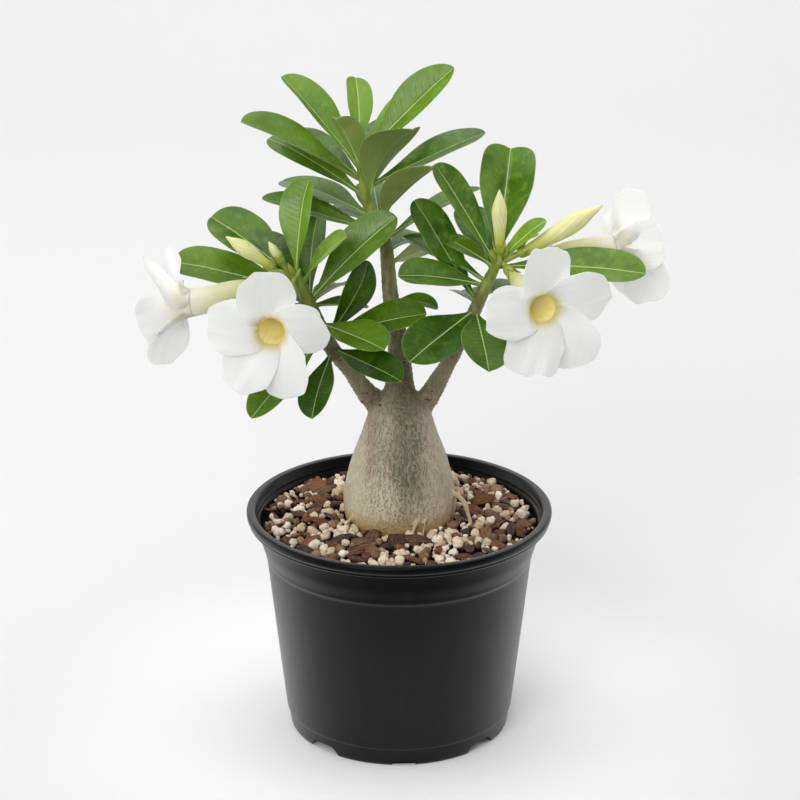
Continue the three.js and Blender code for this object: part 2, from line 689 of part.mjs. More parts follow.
function makeShoot(name) {
  const branch = branches[name];
  const start = distanceAtHeight(branch.curve, branch.split) + GAP;
  const parts = [branchBar(branch, start, branch.length, 7, 8)];
  for (const [z, ...shape] of leaves[name]) {
    const share = distanceAtHeight(branch.curve, z) / branch.length;
    parts.push(makeLeaf(branch.curve.getPointAt(share), ...shape));
  }
  for (const bloom of Object.values(blooms).filter((flower) => flower.shoot === name)) {
    const curve = tubeCurve(bloom);
    parts.push(makeCalyx(branch, bloom.stalkFrom, curve, tubeProfile, bloom.reference, BLOOM_SEPAL));
  }
  for (const bud of Object.values(buds).filter((flower) => flower.shoot === name)) {
    const curve = budCurve(bud);
    parts.push(makeCalyx(branch, bud.stalkFrom, curve, bud.profile, BACK, BUD_SEPAL));
  }
  parts.push(...greenBuds[name].map(makeGreenBud));
  return join(parts);
}

// Potting mix

function mixSurface(radius) {
  const share = min(1, radius / MIX_RADIUS);
  return MIX_MIDDLE_Z + (MIX_EDGE_Z - MIX_MIDDLE_Z) * share * share;
}

// Random places on the mix between the trunk and the wall, at least their own size apart.
function scatter(random, count, size, taken) {
  const places = [];
  for (let attempt = 0; attempt < 6000 && places.length < count; attempt += 1) {
    const reach = size * (0.7 + 0.6 * random());
    const radius = THREE.MathUtils.lerp(TRUNK_CLEAR_RADIUS, MIX_RADIUS - reach, sqrt(random()));
    const angle = 2 * PI * random();
    const [x, y] = [radius * cos(angle), radius * sin(angle)];
    if (hypot(x, y - TRUNK_Y) < TRUNK_CLEAR_RADIUS + reach * 0.5) continue;
    if (taken.some((other) => hypot(x - other.x, y - other.y) < 0.62 * (reach + other.reach))) continue;
    const place = { x, y, reach, z: mixSurface(hypot(x, y)) };
    places.push(place);
    taken.push(place);
  }
  return places;
}

// A flat, splintered piece of bark that leans on its neighbours.
function makeChip(place, random) {
  const width = place.reach * (0.7 + 0.4 * random());
  const chip = new THREE.BoxGeometry(2 * place.reach, width, 2.6 + random());
  const corners = chip.attributes.position;
  for (let k = 0; k < corners.count; k += 1) {
    const end = corners.getX(k) > 0 ? 0.55 : 0.85;
    corners.setXYZ(k, corners.getX(k), corners.getY(k) * end, corners.getZ(k));
  }
  chip.rotateX(0.5 * (random() - 0.5)).rotateY(0.45 * (random() - 0.5)).rotateZ(2 * PI * random());
  return solidOf(chip.translate(place.x, place.y, place.z + 0.6));
}

// An uneven grain of pumice.
function makeGrain(place, random) {
  const grain = new THREE.OctahedronGeometry(place.reach, 0);
  grain.scale(1, 0.75 + 0.25 * random(), 0.7 + 0.2 * random());
  grain.rotateX(PI * random()).rotateY(PI * random()).rotateZ(PI * random());
  return solidOf(grain.translate(place.x, place.y, place.z + 0.35 * place.reach));
}

function makeMix(hole) {
  const random = seeded(11);
  const wall = potInside.slice(3).map(([radius, z]) => [radius - GAP, z]).reverse();
  wall[0] = [0, POT_FLOOR + GAP];
  wall[1] = [wall[1][0], POT_FLOOR + GAP];
  const top = [0.99, 0.75, 0.5, 0].map((share) => [MIX_RADIUS * share, mixSurface(MIX_RADIUS * share)]);
  const bed = turned([...wall, ...top], MIX_SEGMENTS);
  const roofs = join(drainBoxes(POT_WALL + GAP, -1));
  const taken = [];
  const chips = scatter(random, CHIP_COUNT, CHIP_REACH, taken).map((spot) => makeChip(spot, random));
  const grains = scatter(random, GRAIN_COUNT, GRAIN_REACH, taken).map((spot) => makeGrain(spot, random));
  return largestBody(join([bed, ...chips, ...grains]).subtract(roofs).subtract(hole));
}

// The whole plant

const materials = {
  pot: new THREE.MeshStandardMaterial({ color: 0x262728, roughness: 0.42, metalness: 0 }),
  mix: new THREE.MeshStandardMaterial({ color: 0xa98f72, roughness: 0.95, metalness: 0 }),
  bark: new THREE.MeshStandardMaterial({ color: 0x9a9579, roughness: 0.8, metalness: 0 }),
  leaf: new THREE.MeshStandardMaterial({ color: 0x3c6b25, roughness: 0.4, metalness: 0 }),
  petal: new THREE.MeshStandardMaterial({ color: 0xf4f3ee, roughness: 0.6, metalness: 0 }),
  bud: new THREE.MeshStandardMaterial({ color: 0xe3e0a4, roughness: 0.55, metalness: 0 }),
};

const plant = new THREE.Group();

function place(name, solid, material) {
  const mesh = new THREE.Mesh(geometryOf(solid), material);
  mesh.name = name;
  plant.add(mesh);
}

place('pot', makePot(), materials.pot);
place('trunk', makeTrunk(), materials.bark);
place('potting_mix', makeMix(makeFoot(GAP)), materials.mix);
for (const name of Object.keys(branches)) {
  place(`leafy_shoot_${name}`, makeShoot(name), materials.leaf);
}
for (const [name, bloom] of Object.entries(blooms)) {
  place(`bloom_${name}`, makeBloom(bloom), materials.petal);
}
for (const [name, bud] of Object.entries(buds)) {
  place(`bud_${name}`, makeBud(bud), materials.bud);
}

export default plant;
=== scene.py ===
"""A desert rose (adenium) in flower in a round nursery pot: the fine surfaces and their materials.

Lengths are in millimetres up to the point where a piece is made, and in metres after it. The
materials read two attributes of a piece's points, place and tint, of three numbers each.
"""

from math import cos, hypot, pi, radians, sin, sqrt

import bmesh
import bpy
import numpy as np
from mathutils import Euler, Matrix, Quaternion, Vector, noise


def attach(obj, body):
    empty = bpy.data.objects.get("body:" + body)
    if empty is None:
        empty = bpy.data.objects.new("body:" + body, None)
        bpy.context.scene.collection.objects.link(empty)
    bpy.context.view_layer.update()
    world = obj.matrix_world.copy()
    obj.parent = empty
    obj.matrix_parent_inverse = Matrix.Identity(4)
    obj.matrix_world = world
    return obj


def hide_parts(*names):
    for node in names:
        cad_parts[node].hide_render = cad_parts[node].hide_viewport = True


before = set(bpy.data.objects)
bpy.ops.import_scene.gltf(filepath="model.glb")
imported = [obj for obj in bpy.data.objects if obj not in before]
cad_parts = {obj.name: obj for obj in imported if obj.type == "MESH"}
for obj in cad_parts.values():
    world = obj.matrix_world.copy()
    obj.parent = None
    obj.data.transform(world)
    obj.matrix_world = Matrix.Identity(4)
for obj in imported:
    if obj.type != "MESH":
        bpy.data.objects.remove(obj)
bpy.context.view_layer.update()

MM = 0.001
TAU = 2 * pi
ANY_PHASE = 6.28  # random phases lie between 0 and this
SIDEWAYS, BACK, UP = np.eye(3)


# Curves


def unit(v):
    return np.asarray(v, float) / np.linalg.norm(v)


def direction(azimuth, elevation):
    flat = cos(elevation)
    return np.array([flat * cos(azimuth), flat * sin(azimuth), sin(elevation)])


def around(sides):
    return np.linspace(0, TAU, sides, endpoint=False)


def smooth(x, low, high):
    t = np.clip((x - low) / (high - low), 0, 1)
    return t * t * (3 - 2 * t)


class Path:
    """A curve through dense points, read by the distance along it."""

    def __init__(self, points):
        self.points = np.array(points, float)
        steps = np.linalg.norm(np.diff(self.points, axis=0), axis=1)
        self.distances = np.concatenate([[0], np.cumsum(steps)])
        self.length = self.distances[-1]

    def inner(self, distance):
        return np.array([np.interp(distance, self.distances, self.points[:, k]) for k in range(3)])

    def tangent(self, distance):
        d = min(max(distance, 0.3), self.length - 0.3)
        return unit(self.inner(d + 0.3) - self.inner(d - 0.3))

    def at(self, distance):
        held = min(max(distance, 0), self.length)
        return self.inner(held) + self.tangent(distance) * (distance - held)

    def at_height(self, z):
        return float(np.interp(z, self.points[:, 2], self.distances))


def blend(t, start, leaving, end, arriving):
    """From start to end as t goes from 0 to 1, with the slopes at both."""
    kept = 2 * t**3 - 3 * t**2 + 1
    eased = kept * start + (t**3 - 2 * t**2 + t) * leaving
    return eased + (1 - kept) * end + (t**3 - t**2) * arriving


def through(points):
    """A smooth curve through the points."""
    p = np.array(points, float)
    p = np.vstack([2 * p[0] - p[1], p, 2 * p[-1] - p[-2]])
    dense = []
    for p0, p1, p2, p3 in zip(p, p[1:], p[2:], p[3:]):
        d0, d1, d2 = (sqrt(np.linalg.norm(b - a)) for a, b in ((p0, p1), (p1, p2), (p2, p3)))
        m1 = ((p1 - p0) / d0 - (p2 - p0) / (d0 + d1) + (p2 - p1) / d1) * d1
        m2 = ((p2 - p1) / d1 - (p3 - p1) / (d1 + d2) + (p3 - p2) / d2) * d1
        dense += [blend(t, p1, m1, p2, m2) for t in np.linspace(0, 1, 24, endpoint=False)]
    return Path(dense + [p[-2]])


def bezier(*controls):
    dense = []
    for t in np.linspace(0, 1, 80):
        level = np.array(controls, float)
        while len(level) > 1:
            level = level[:-1] * (1 - t) + level[1:] * t
        dense.append(level[0])
    return Path(dense)


def soft_profile(knots, shares):
    """Values between (share, value) knots, on a curve without corners."""
    x, y = (np.array(v, float) for v in zip(*knots))
    slopes = np.gradient(y, x)
    k = np.clip(np.searchsorted(x, shares, side="right") - 1, 0, len(x) - 2)
    span = x[k + 1] - x[k]
    t = np.clip((shares - x[k]) / span, 0, 1)
    return blend(t, y[k], span * slopes[k], y[k + 1], span * slopes[k + 1])


def ring(path, distance, sides, radius, reference, extra=0.0):
    """Points round a curve. radius and extra, the further way along it, may differ at each."""
    tangent = path.tangent(distance)
    across = unit(np.cross(tangent, reference))
    turn = around(sides)
    spread = np.outer(radius * np.cos(turn), across)
    spread += np.outer(radius * np.sin(turn), np.cross(across, tangent))
    return path.at(distance) + np.outer(np.broadcast_to(extra, sides), tangent) + spread


def level_ring(radius, z, sides):
    turn = around(sides)
    return np.stack([radius * np.cos(turn), radius * np.sin(turn), np.full(sides, z)], -1)


# Surfaces


def signed_volume(points, faces):
    total = 0.0
    for face in faces:
        a = points[face[0]]
        for b, c in zip(face[1:], face[2:]):
            total += a @ np.cross(points[b], points[c])
    return total


def noise_at(points, scale, shift=(0, 0, 0)):
    """Smooth noise from -1 to 1 at each point. A larger scale makes it finer."""
    return np.array([noise.noise(Vector(p)) for p in (points * scale + shift).tolist()])


def mesh_of(name, points, faces):
    mesh = bpy.data.meshes.new(name)
    mesh.from_pydata(points, [], faces)
    return mesh


def keep(mesh, key, values):
    """Stores three numbers at each point."""
    layer = mesh.attributes.get(key) or mesh.attributes.new(key, "FLOAT_VECTOR", "POINT")
    layer.data.foreach_set("vector", np.asarray(values, np.float32).ravel())


def show(name, data):
    made = bpy.data.objects.new(name, data)
    bpy.context.scene.collection.objects.link(made)
    return made


def applied(piece):
    """The same object with its modifiers worked into its mesh."""
    graph = bpy.context.evaluated_depsgraph_get()
    mesh = bpy.data.meshes.new_from_object(piece.evaluated_get(graph))
    piece.modifiers.clear()
    piece.data = mesh
    return piece


class Piece:
    """Closed skins gathered into one object."""

    def __init__(self, *materials):
        self.materials = materials
        self.points, self.faces, self.slots, self.place, self.tint = [], [], [], [], []
        self.count = 0

    def add(self, points, faces, material=0, place=(0, 0, 0), tint=(0, 0, 0)):
        points = np.asarray(points, float)
        if signed_volume(points, faces) < 0:
            faces = [face[::-1] for face in faces]
        self.faces += [[self.count + i for i in face] for face in faces]
        self.slots += [material] * len(faces)
        self.points.append(points)
        self.place.append(np.broadcast_to(place, points.shape))
        self.tint.append(np.broadcast_to(tint, points.shape))
        self.count += len(points)

    def wrap(self, rings, material=0, place=(0, 0, 0), tint=(0, 0, 0)):
        """Adds a closed skin over rings of points."""
        rings = np.asarray(rings, float)
        rows, cols = rings.shape[:2]
        i, j = np.mgrid[0 : rows - 1, 0:cols]
        k = (j + 1) % cols
        quads = np.stack([i * cols + j, i * cols + k, (i + 1) * cols + k, (i + 1) * cols + j], -1)
        faces = quads.reshape(-1, 4).tolist()
        last = (rows - 1) * cols
        faces += [list(range(cols - 1, -1, -1)), list(range(last, last + cols))]
        place, tint = (np.reshape(v, (-1, 3)) for v in (place, tint))
        self.add(rings.reshape(-1, 3), faces, material, place, tint)

    def make(self, name, node, slot):
        mesh = mesh_of(name, np.vstack(self.points) * MM, self.faces)
        for material in self.materials:
            mesh.materials.append(material)
        mesh.polygons.foreach_set("material_index", self.slots)
        keep(mesh, "place", np.vstack(self.place))
        keep(mesh, "tint", np.vstack(self.tint))
        mesh.shade_smooth()
        piece = show(name, mesh)
        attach(piece, "root")
        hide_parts(node)
        return piece


# Material nodes


def colour(r, g, b):
    """A colour given as it looks on a screen, from 0 to 255."""
    linear = [((c / 255 + 0.055) / 1.055) ** 2.4 if c > 10 else c / 255 / 12.92 for c in (r, g, b)]
    return (*linear, 1.0)


def operator(kind, order=1):
    """A method that adds a Math node. With order -1 the value itself comes last."""
    def method(value, *others):
        inputs = dict(enumerate((value, *others)[::order]))
        return value.nodes.node("Math", inputs, operation=kind)

    return method


class Value:
    """What a node gives out. Arithmetic on it adds further nodes."""

    __add__, __sub__, __rsub__ = operator("ADD"), operator("SUBTRACT"), operator("SUBTRACT", -1)
    __mul__, __truediv__, __pow__ = operator("MULTIPLY"), operator("DIVIDE"), operator("POWER")
    __abs__, at_least, fraction = operator("ABSOLUTE"), operator("MAXIMUM"), operator("FRACT")

    def __init__(self, nodes, socket):
        self.nodes, self.socket = nodes, socket

    def ramp(self, low=0.3, high=0.7, to_low=0.0, to_high=1.0):
        """Eases from to_low to to_high while this goes from low to high."""
        return self.nodes.node("MapRange", {
            "Value": self, "From Min": low, "From Max": high, "To Min": to_low, "To Max": to_high,
        }, interpolation_type="SMOOTHSTEP")


class Nodes:
    """The node tree of a new material, or of a new world, written as expressions."""

    def __init__(self, name, kind=bpy.data.materials):
        self.owner = kind.new(name)
        self.owner.use_nodes = True
        self.tree = self.owner.node_tree

    def put(self, socket, value):
        if isinstance(value, Value):
            self.tree.links.new(value.socket, socket)
        else:
            socket.default_value = value

    def node(self, kind, inputs=(), output=0, **settings):
        made = self.tree.nodes.new("ShaderNode" + kind)
        for key, value in settings.items():
            setattr(made, key, value)
        for key, value in dict(inputs).items():
            self.put(made.inputs[key], value)
        return Value(self, made.outputs[output])

    def finished(self, shader="Principled BSDF", **values):
        """The material or world, with these values on its shader."""
        inputs = self.tree.nodes[shader].inputs
        for key, value in values.items():
            self.put(inputs[key.replace("_", " ")], value)
        return self.owner

    def spot(self):
        """The place on the object, in metres."""
        return self.node("TexCoord", output="Object")

    def stretched(self, z, vector=None):
        return self.node("Mapping", {"Vector": vector or self.spot(), "Scale": (1, 1, z)})

    def parts(self, vector):
        outputs = self.node("SeparateXYZ", {0: vector}).socket.node.outputs
        return [Value(self, output) for output in outputs]

    def joined(self, x, y, z=0.0):
        return self.node("CombineXYZ", {0: x, 1: y, 2: z})

    def attribute(self, name):
        return self.parts(self.node("Attribute", output="Vector", attribute_name=name))

    def noise(self, scale, detail=3.0, rough=0.55, at=None):
        return self.node("TexNoise", {
            "Vector": at or self.spot(), "Scale": scale, "Detail": detail, "Roughness": rough,
        })

    def mix(self, share, a, b):
        """Tuples of three are screen colours."""
        a, b = (colour(*v) if isinstance(v, tuple) and len(v) == 3 else v for v in (a, b))
        return self.node("Mix", {0: share, 6: a, 7: b}, output=2, data_type="RGBA")

    def coats(self, base, *coats):
        """A colour under further coats, each with the share that covers what is under it."""
        for share, over in coats:
            base = self.mix(share, base, over)
        return base

    def bump(self, height, strength, distance):
        return self.node("Bump", {"Height": height, "Strength": strength, "Distance": distance})


# Materials


def leaf_material():
    """Waxy leaf. place is (distance from the midrib, share of the length, half width), in mm.

    tint is (how young, chance, underside).
    """
    n = Nodes("waxy_leaf")
    across, along, half = n.attribute("place")
    young, chance, under = n.attribute("tint")
    side = abs(across)
    patch = n.noise(60)
    sheen_blotch = n.noise(240, 3, 0.6)
    # Leaves low down are painted darker, with fewer painted highlights and less shine: painted
    # shade under the leaves above.
    shaded_low_down = n.parts(n.spot())[2].ramp(0.285, 0.235)
    grown = n.coats(
        n.mix(patch.ramp(0.32, 0.68), (44, 82, 4), (80, 124, 14)),
        (chance.ramp(0.2, 1, 0, 0.5), (92, 130, 32)),
        (shaded_low_down * 0.64, (36, 74, 0)),
    )
    fresh = n.mix(patch.ramp(), (104, 150, 12), (134, 170, 34))
    top = n.mix(young, grown, fresh)
    # Pale streaky blotches are a painted highlight that stands in for the waxy shine, weaker low
    # down; the same noise also roughens the bump.
    top = n.mix(sheen_blotch.ramp(0.5, 0.72) * (shaded_low_down * -0.22 + 0.34), top, (134, 162, 74))
    below = n.mix(patch.ramp(), (114, 130, 66), (138, 150, 90))
    below = n.mix(young, below, (142, 168, 72))
    # Side veins leave the midrib at a slant, waver, and fade towards the margin.
    phase = along * 17 - side * 0.16 + n.noise(90, 2) * 1.3
    vein = 1 - abs(phase.fraction() - 0.5).ramp(0, 0.16)
    vein = vein * ((side / half).ramp(1, 0.35) * patch.ramp(0.3, 0.6, 0.3, 1))
    rib = 1 - (side / (along * -0.36 + 0.58)).ramp(0.45, 1.05)
    margin = (half - side).ramp(0.5, 0.08) * along.ramp(0.1, 0.3)
    base = n.coats(
        top,
        (under, below),
        (vein * 0.1, (150, 176, 80)),
        (rib * 0.85, n.mix(young, (182, 200, 138), (204, 220, 138))),
        (margin * 0.42, (160, 182, 96)),
        (along.ramp(0.16, 0.03) * 0.6, (150, 168, 66)),
    )
    height = vein * -0.45 + n.noise(2600, 2) * 0.22 + sheen_blotch * 0.8
    # The underside glows a little: painted light that stands in for the light coming through the
    # blade.
    return n.finished(
        Base_Color=base, Roughness=under * 0.2 + patch.ramp(0.3, 0.7, 0.27, 0.38),
        Normal=n.bump(height, 0.4, 0.0005), Specular_IOR_Level=shaded_low_down * -0.24 + 0.46,
        Emission_Color=colour(150, 172, 84), Emission_Strength=under * 0.085)


def stem_material():
    """Shoot stems, stalks, calyces and tiny buds. tint is (green, chance, pale tip)."""
    n = Nodes("shoot_stem")
    green, chance, pale = n.attribute("tint")
    patch = n.noise(260, 4, 0.65, n.stretched(0.35))
    base = n.coats(
        n.mix(patch.ramp(), (92, 88, 56), (140, 134, 98)),
        (green, n.mix(patch.ramp(), (98, 118, 36), (142, 158, 64))),
        (pale, (204, 208, 104)),
        (chance * 0.25, (126, 140, 50)),
    )
    height = patch + n.noise(1500) * 0.35
    return n.finished(
        Base_Color=base, Roughness=patch.ramp(0.2, 0.8, 0.42, 0.6),
        Normal=n.bump(height, 0.5, 0.0006), Specular_IOR_Level=0.35)


def bark_material():
    """Living bark with fine wrinkles. tint is (scar, thin root, 0)."""
    n = Nodes("living_bark")
    scar, root, _ = n.attribute("tint")
    spot = n.spot()
    sideways, _, height = n.parts(spot)
    wave = n.node("TexNoise", {"Vector": spot, "Scale": 260, "Detail": 2}, output=1)
    wave = n.node("VectorMath", {0: wave, 3: 0.0018}, operation="SCALE")
    warped = n.node("VectorMath", {0: spot, 1: wave}, operation="ADD")
    # Low wrinkles that wander upwards, shorter and more tangled low on the swollen foot.
    fine = n.noise(860, 2, 0.4, n.stretched(0.12, warped))
    tangled = n.noise(740, 2, 0.4, n.stretched(0.42, warped))
    worm = n.mix(height.ramp(0.152, 0.134, 0.1, 0.75), fine, tangled)
    ridge, furrow = (1 - abs(worm - level).ramp(0, 0.07) for level in (0.53, 0.43))
    cloud = n.noise(42, 4, 0.6, n.stretched(0.5))
    streak = n.noise(62, 2, at=n.stretched(0.18))
    side_on = sideways + (streak * 0.012 - 0.006)
    # A darker olive band runs down the front, a brown one down its left, both fading at the foot.
    down = height.ramp(0.131, 0.146)
    band = side_on.ramp(-0.008, 0.002) * side_on.ramp(0.017, 0.007)
    brown = side_on.ramp(-0.021, -0.016) * side_on.ramp(-0.01, -0.015)
    pale = height.ramp(0.153, 0.143) * side_on.ramp(0.006, -0.004)
    seen = abs(side_on).ramp(0.026, 0.01, 0.42, 1)
    base = n.coats(
        n.mix(cloud.ramp(0.34, 0.66), (186, 173, 148), (206, 193, 168)),
        (streak.ramp(0.5, 0.66, 0, 0.4), (138, 138, 108)),
        (band * down * 0.85, (104, 102, 74)),
        (brown * down * 0.45, (146, 118, 84)),
        (pale * 0.7, (214, 206, 174)),
        # Ridges painted paler, partly the bark's own pale squiggles and partly painted highlight,
        # and furrows painted darker as painted shade, both strongest across the front.
        (ridge * seen * 0.45, (204, 196, 168)),
        (furrow * seen * 0.55, (86, 80, 54)),
        (height.ramp(0.17, 0.195, 0, 0.5), (108, 102, 76)),
        ((height + cloud * 0.016).ramp(0.139, 0.127) * 0.85, (186, 146, 88)),
        (root * 0.75, (206, 188, 148)),
        (scar.ramp(0.08, 0.3) * 0.6, (168, 144, 106)),
        (scar.ramp(0.36, 0.7) * 0.75, (72, 56, 34)),
    )
    relief = furrow * -1 + ridge * 0.8 + n.noise(2200, 2) * 0.25
    return n.finished(
        Base_Color=base, Roughness=worm.ramp(0.3, 0.7, 0.55, 0.42),
        Normal=n.bump(relief, 0.6, 0.0005), Specular_IOR_Level=0.4)


def petal_material():
    """Soft white petal. place is (distance from the axis, way out of the tube, side), in mm.

    tint is (tube outside, chance, 0).
    """
    n = Nodes("white_petal")
    radius, way, side = n.attribute("place")
    tube, chance, _ = n.attribute("tint")
    crease = n.noise(1.1, at=n.joined(side * 0.8, radius * 0.06, chance))
    stripe = n.noise(1.4, 2, 0.5, n.joined(side * 2.2, way * 0.1, chance))
    glow = radius.ramp(14.5, 7) ** 1.6 * n.noise(75, 1).ramp(0.3, 0.62, 0.45, 1)
    inside = n.coats(
        n.mix(way.ramp(-3, -12), (240, 228, 158), (228, 208, 112)),
        (stripe.ramp(0.5, 0.7, 0, 0.45), (214, 172, 74)),
        (way.ramp(-15, -28), (186, 172, 74)),
    )
    cream = n.coats(
        n.mix(way.ramp(-3, -22), (242, 242, 226), (222, 222, 172)),
        (crease.ramp(0.45, 0.75, 0, 0.35), (208, 206, 146)),
        (way.ramp(-26, -40), (192, 198, 98)),
    )
    base = n.coats(
        n.mix(crease.ramp(), (247, 247, 246), (252, 252, 252)),
        (glow * 0.8, (240, 226, 164)),
        (way.ramp(-1.4, -5), inside),
        (tube, cream),
    )
    # Painted light: the whole petal glows a little and the throat more, fading deeper in, standing
    # in for the light that comes through the thin petals and the throat's wall.
    painted_glow = way.ramp(-2, -6) * way.ramp(-34, -10, 0.3, 1)
    painted_glow = painted_glow.at_least(0.42) * (1 - tube)
    height = crease * 1.2 + n.noise(1400) * 0.25
    return n.finished(
        Base_Color=base, Roughness=crease.ramp(0.2, 0.8, 0.5, 0.6),
        Normal=n.bump(height, 0.4, 0.0005), Subsurface_Weight=0.55, Subsurface_Scale=0.004,
        Subsurface_Radius=(1, 1, 0.94), Sheen_Weight=0.1, Sheen_Roughness=0.5,
        Specular_IOR_Level=0.25, Emission_Color=base, Emission_Strength=painted_glow * 0.13)


def bud_material():
    """Rolled-up petals. place is (share of the length, turn, 0)."""
    n = Nodes("rolled_bud")
    share, turn, _ = n.attribute("place")
    streak = n.noise(2.4, 3, 0.6, n.joined(turn * 2.2, share * 1.6))
    base = n.coats(
        n.mix(streak.ramp(0.35, 0.7), (226, 224, 146), (244, 242, 200)),
        (share.ramp(0.5, 0.04), (190, 196, 76)),
        (share.ramp(0.8, 1, 0, 0.4), (238, 238, 178)),
    )
    height = streak + n.noise(1300) * 0.3
    return n.finished(
        Base_Color=base, Roughness=streak.ramp(0.2, 0.8, 0.46, 0.6),
        Normal=n.bump(height, 0.35, 0.0004), Subsurface_Weight=0.35, Subsurface_Scale=0.003,
        Subsurface_Radius=(1, 1, 0.86), Specular_IOR_Level=0.3)


def pot_material():
    """Near-black plastic with a faint drawn grain, a little dust and a soft satin shine."""
    n = Nodes("charcoal_plastic")
    cloud = n.noise(14, 4, 0.6)
    drawn = n.noise(240, 3, 0.5, n.stretched(0.06))
    grain = n.noise(2200, 2, 0.5)
    edge = n.node("LayerWeight", {"Blend": 0.5}, output=1)
    above_band = n.parts(n.spot())[2].ramp(0.0995, 0.102)
    base = n.mix(cloud.ramp(), (12, 13, 14), (16, 17, 18))
    base = n.mix(drawn.ramp(0.55, 0.8, 0, 0.1), base, (58, 58, 58))
    return n.finished(
        Base_Color=base,
        Roughness=cloud.ramp(0.3, 0.7, 0.28, 0.34) + grain.ramp(0.3, 0.7, 0, 0.06),
        Normal=n.bump(grain * 0.4 + drawn * 0.12, 0.1, 0.0003),
        Specular_IOR_Level=edge.ramp(0.2, 0.85, above_band * -0.17 + 0.25, 0.9))


def grain_material(name, dark, light, spots, coarse):
    """Grit or pumice. tint is (chance, chance, 0)."""
    n = Nodes(name)
    chance, other, _ = n.attribute("tint")
    pits = n.node("TexVoronoi", {"Vector": n.spot(), "Scale": coarse}, output="Distance")
    pits = pits.ramp(0.32, 0.12)
    dust = n.noise(420, 5, 0.7)
    base = n.coats(
        n.mix(chance, dark, light),
        (dust.ramp(0.5, 0.75, 0, 0.7), spots),
        # Pits painted darker: painted shade in the hollows.
        (pits * 0.3, dark),
        (other.ramp(0.3, 1, 0, 0.45), dark),
    )
    return n.finished(
        Base_Color=base, Roughness=dust.ramp(0.2, 0.8, 0.8, 0.95),
        Normal=n.bump(pits * -0.8 + dust, 0.75, 0.0009), Specular_IOR_Level=0.2)


def chip_material():
    """Bark chips. place is where on the chip, in mm, and tint is (how red, how pale, chance)."""
    n = Nodes("bark_chip")
    red, pale, chance = n.attribute("tint")
    along, wide, _ = n.attribute("place")
    fibre = n.noise(1.5, 4, 0.65, n.joined(along * 0.16, wide, chance * 9))
    base = n.coats(
        n.mix(red, (78, 63, 54), (134, 80, 50)),
        (pale * 0.55, (164, 126, 94)),
        (fibre.ramp(0.4, 0.62, 0, 0.75), (50, 33, 25)),
        (n.noise(300, 4, 0.65).ramp(0.56, 0.74, 0, 0.5), (168, 136, 112)),
    )
    return n.finished(
        Base_Color=base, Roughness=fibre.ramp(0.2, 0.8, 0.7, 0.92),
        Normal=n.bump(fibre, 0.8, 0.0009), Specular_IOR_Level=0.25)


# Pot

POT_SIDES = 240
FEET_TURN = 0.04  # how far the four feet are turned from the front
RIM_FROM, RIM_TO, RIM_INSIDE = 118.9, 122, 80.5  # heights and radius of the rolled rim's outside
CRISP = radians(42)  # steeper edges stay crisp


def pot_piece(material):
    outside = [
        (58.8, 0), (59.5, 0.2), (59.95, 0.7), (60.2, 1.8), (60.5, 3.8), (61.1, 8.6), (61.3, 9.8),
        (61.85, 10.1), (62.05, 10.5), (62.25, 12), (65.2, 38), (68.6, 69), (71.7, 97.6),
        (71.85, 99.4), (72.25, 99.8), (72.4, 100.4), (72.5, 101.4), (72.95, 103), (73.75, 105.4),
        (74.5, 107.9), (75, 110.2), (75.9, 117.2), (76.2, 117.9), (76.9, 118.5), (78, 118.8),
        (80.3, 118.95), (80.95, 119.15), (81.3, 119.6), (81.4, 120.1), (81.3, 120.55),
        (81.45, 120.9), (81.9, 121.3), (82.25, 122.1), (82.4, 123.2), (82.4, 124), (82.25, 124.7),
        (81.8, 125.2), (81.1, 125.4),
    ]
    inside = [
        (78.9, 125.4), (78.2, 125.25), (77.7, 124.8), (77.3, 123.9), (77.0, 122.6), (76.5, 121.6),
        (76.1, 121.2), (75.9, 120.4), (76.0, 119.8), (75.5, 119.4), (74.9, 118.6), (74.5, 117.3),
        (74.3, 116.4), (74.45, 115.6), (73.9, 111), (73.6, 107), (73.2, 104.6), (70.5, 101.4),
        (70.15, 99.5), (60.3, 10.6), (58.4, 2.9), (57.4, 2.4),
    ]
    rings = [level_ring(r, z, POT_SIDES) for r, z in outside + inside]
    # A small mark of the mould across the rolled rim, at the front.
    for loop in rings:
        x, y, z = loop.T
        on_rim = (y < 0) * (z > RIM_FROM) * (z < RIM_TO) * (np.hypot(x, y) > RIM_INSIDE)
        loop[:, 1] -= 0.28 * np.exp(-((x + 0.9) / 0.55) ** 2) * on_rim
    piece = Piece(material)
    piece.wrap(rings)
    shell = piece.make("pot_shell", "pot", "pot")
    # Drain channels between the feet, open to the outside, and a shallow notch in each foot.
    boxes = []
    for quarter in range(4):
        middle = FEET_TURN + quarter * pi / 2
        corner = middle + pi / 4
        boxes.append(rounded_box((16.0, 14.0, 12.0), 59.5, -0.9, corner, 2.6, 2.15))
        boxes.append(rounded_box((6.0, 12.7, 5.4), 60.7, 0.0, middle, 0.4))
    cutter = merged(boxes)
    cut = shell.modifiers.new("cut", "BOOLEAN")
    cut.operation, cut.solver, cut.object = "DIFFERENCE", "EXACT", cutter
    applied(shell)
    bpy.data.objects.remove(cutter)
    shell.data.shade_smooth()
    shell.data.set_sharp_from_angle(angle=CRISP)


def merged(boxes):
    """One object holding the faces of all the boxes, which are removed."""
    points, faces = [], []
    for box in boxes:
        faces += [[len(points) + i for i in p.vertices] for p in box.data.polygons]
        points += [v.co[:] for v in box.data.vertices]
        bpy.data.objects.remove(box)
    return show("cutter", mesh_of("cutter", points, faces))


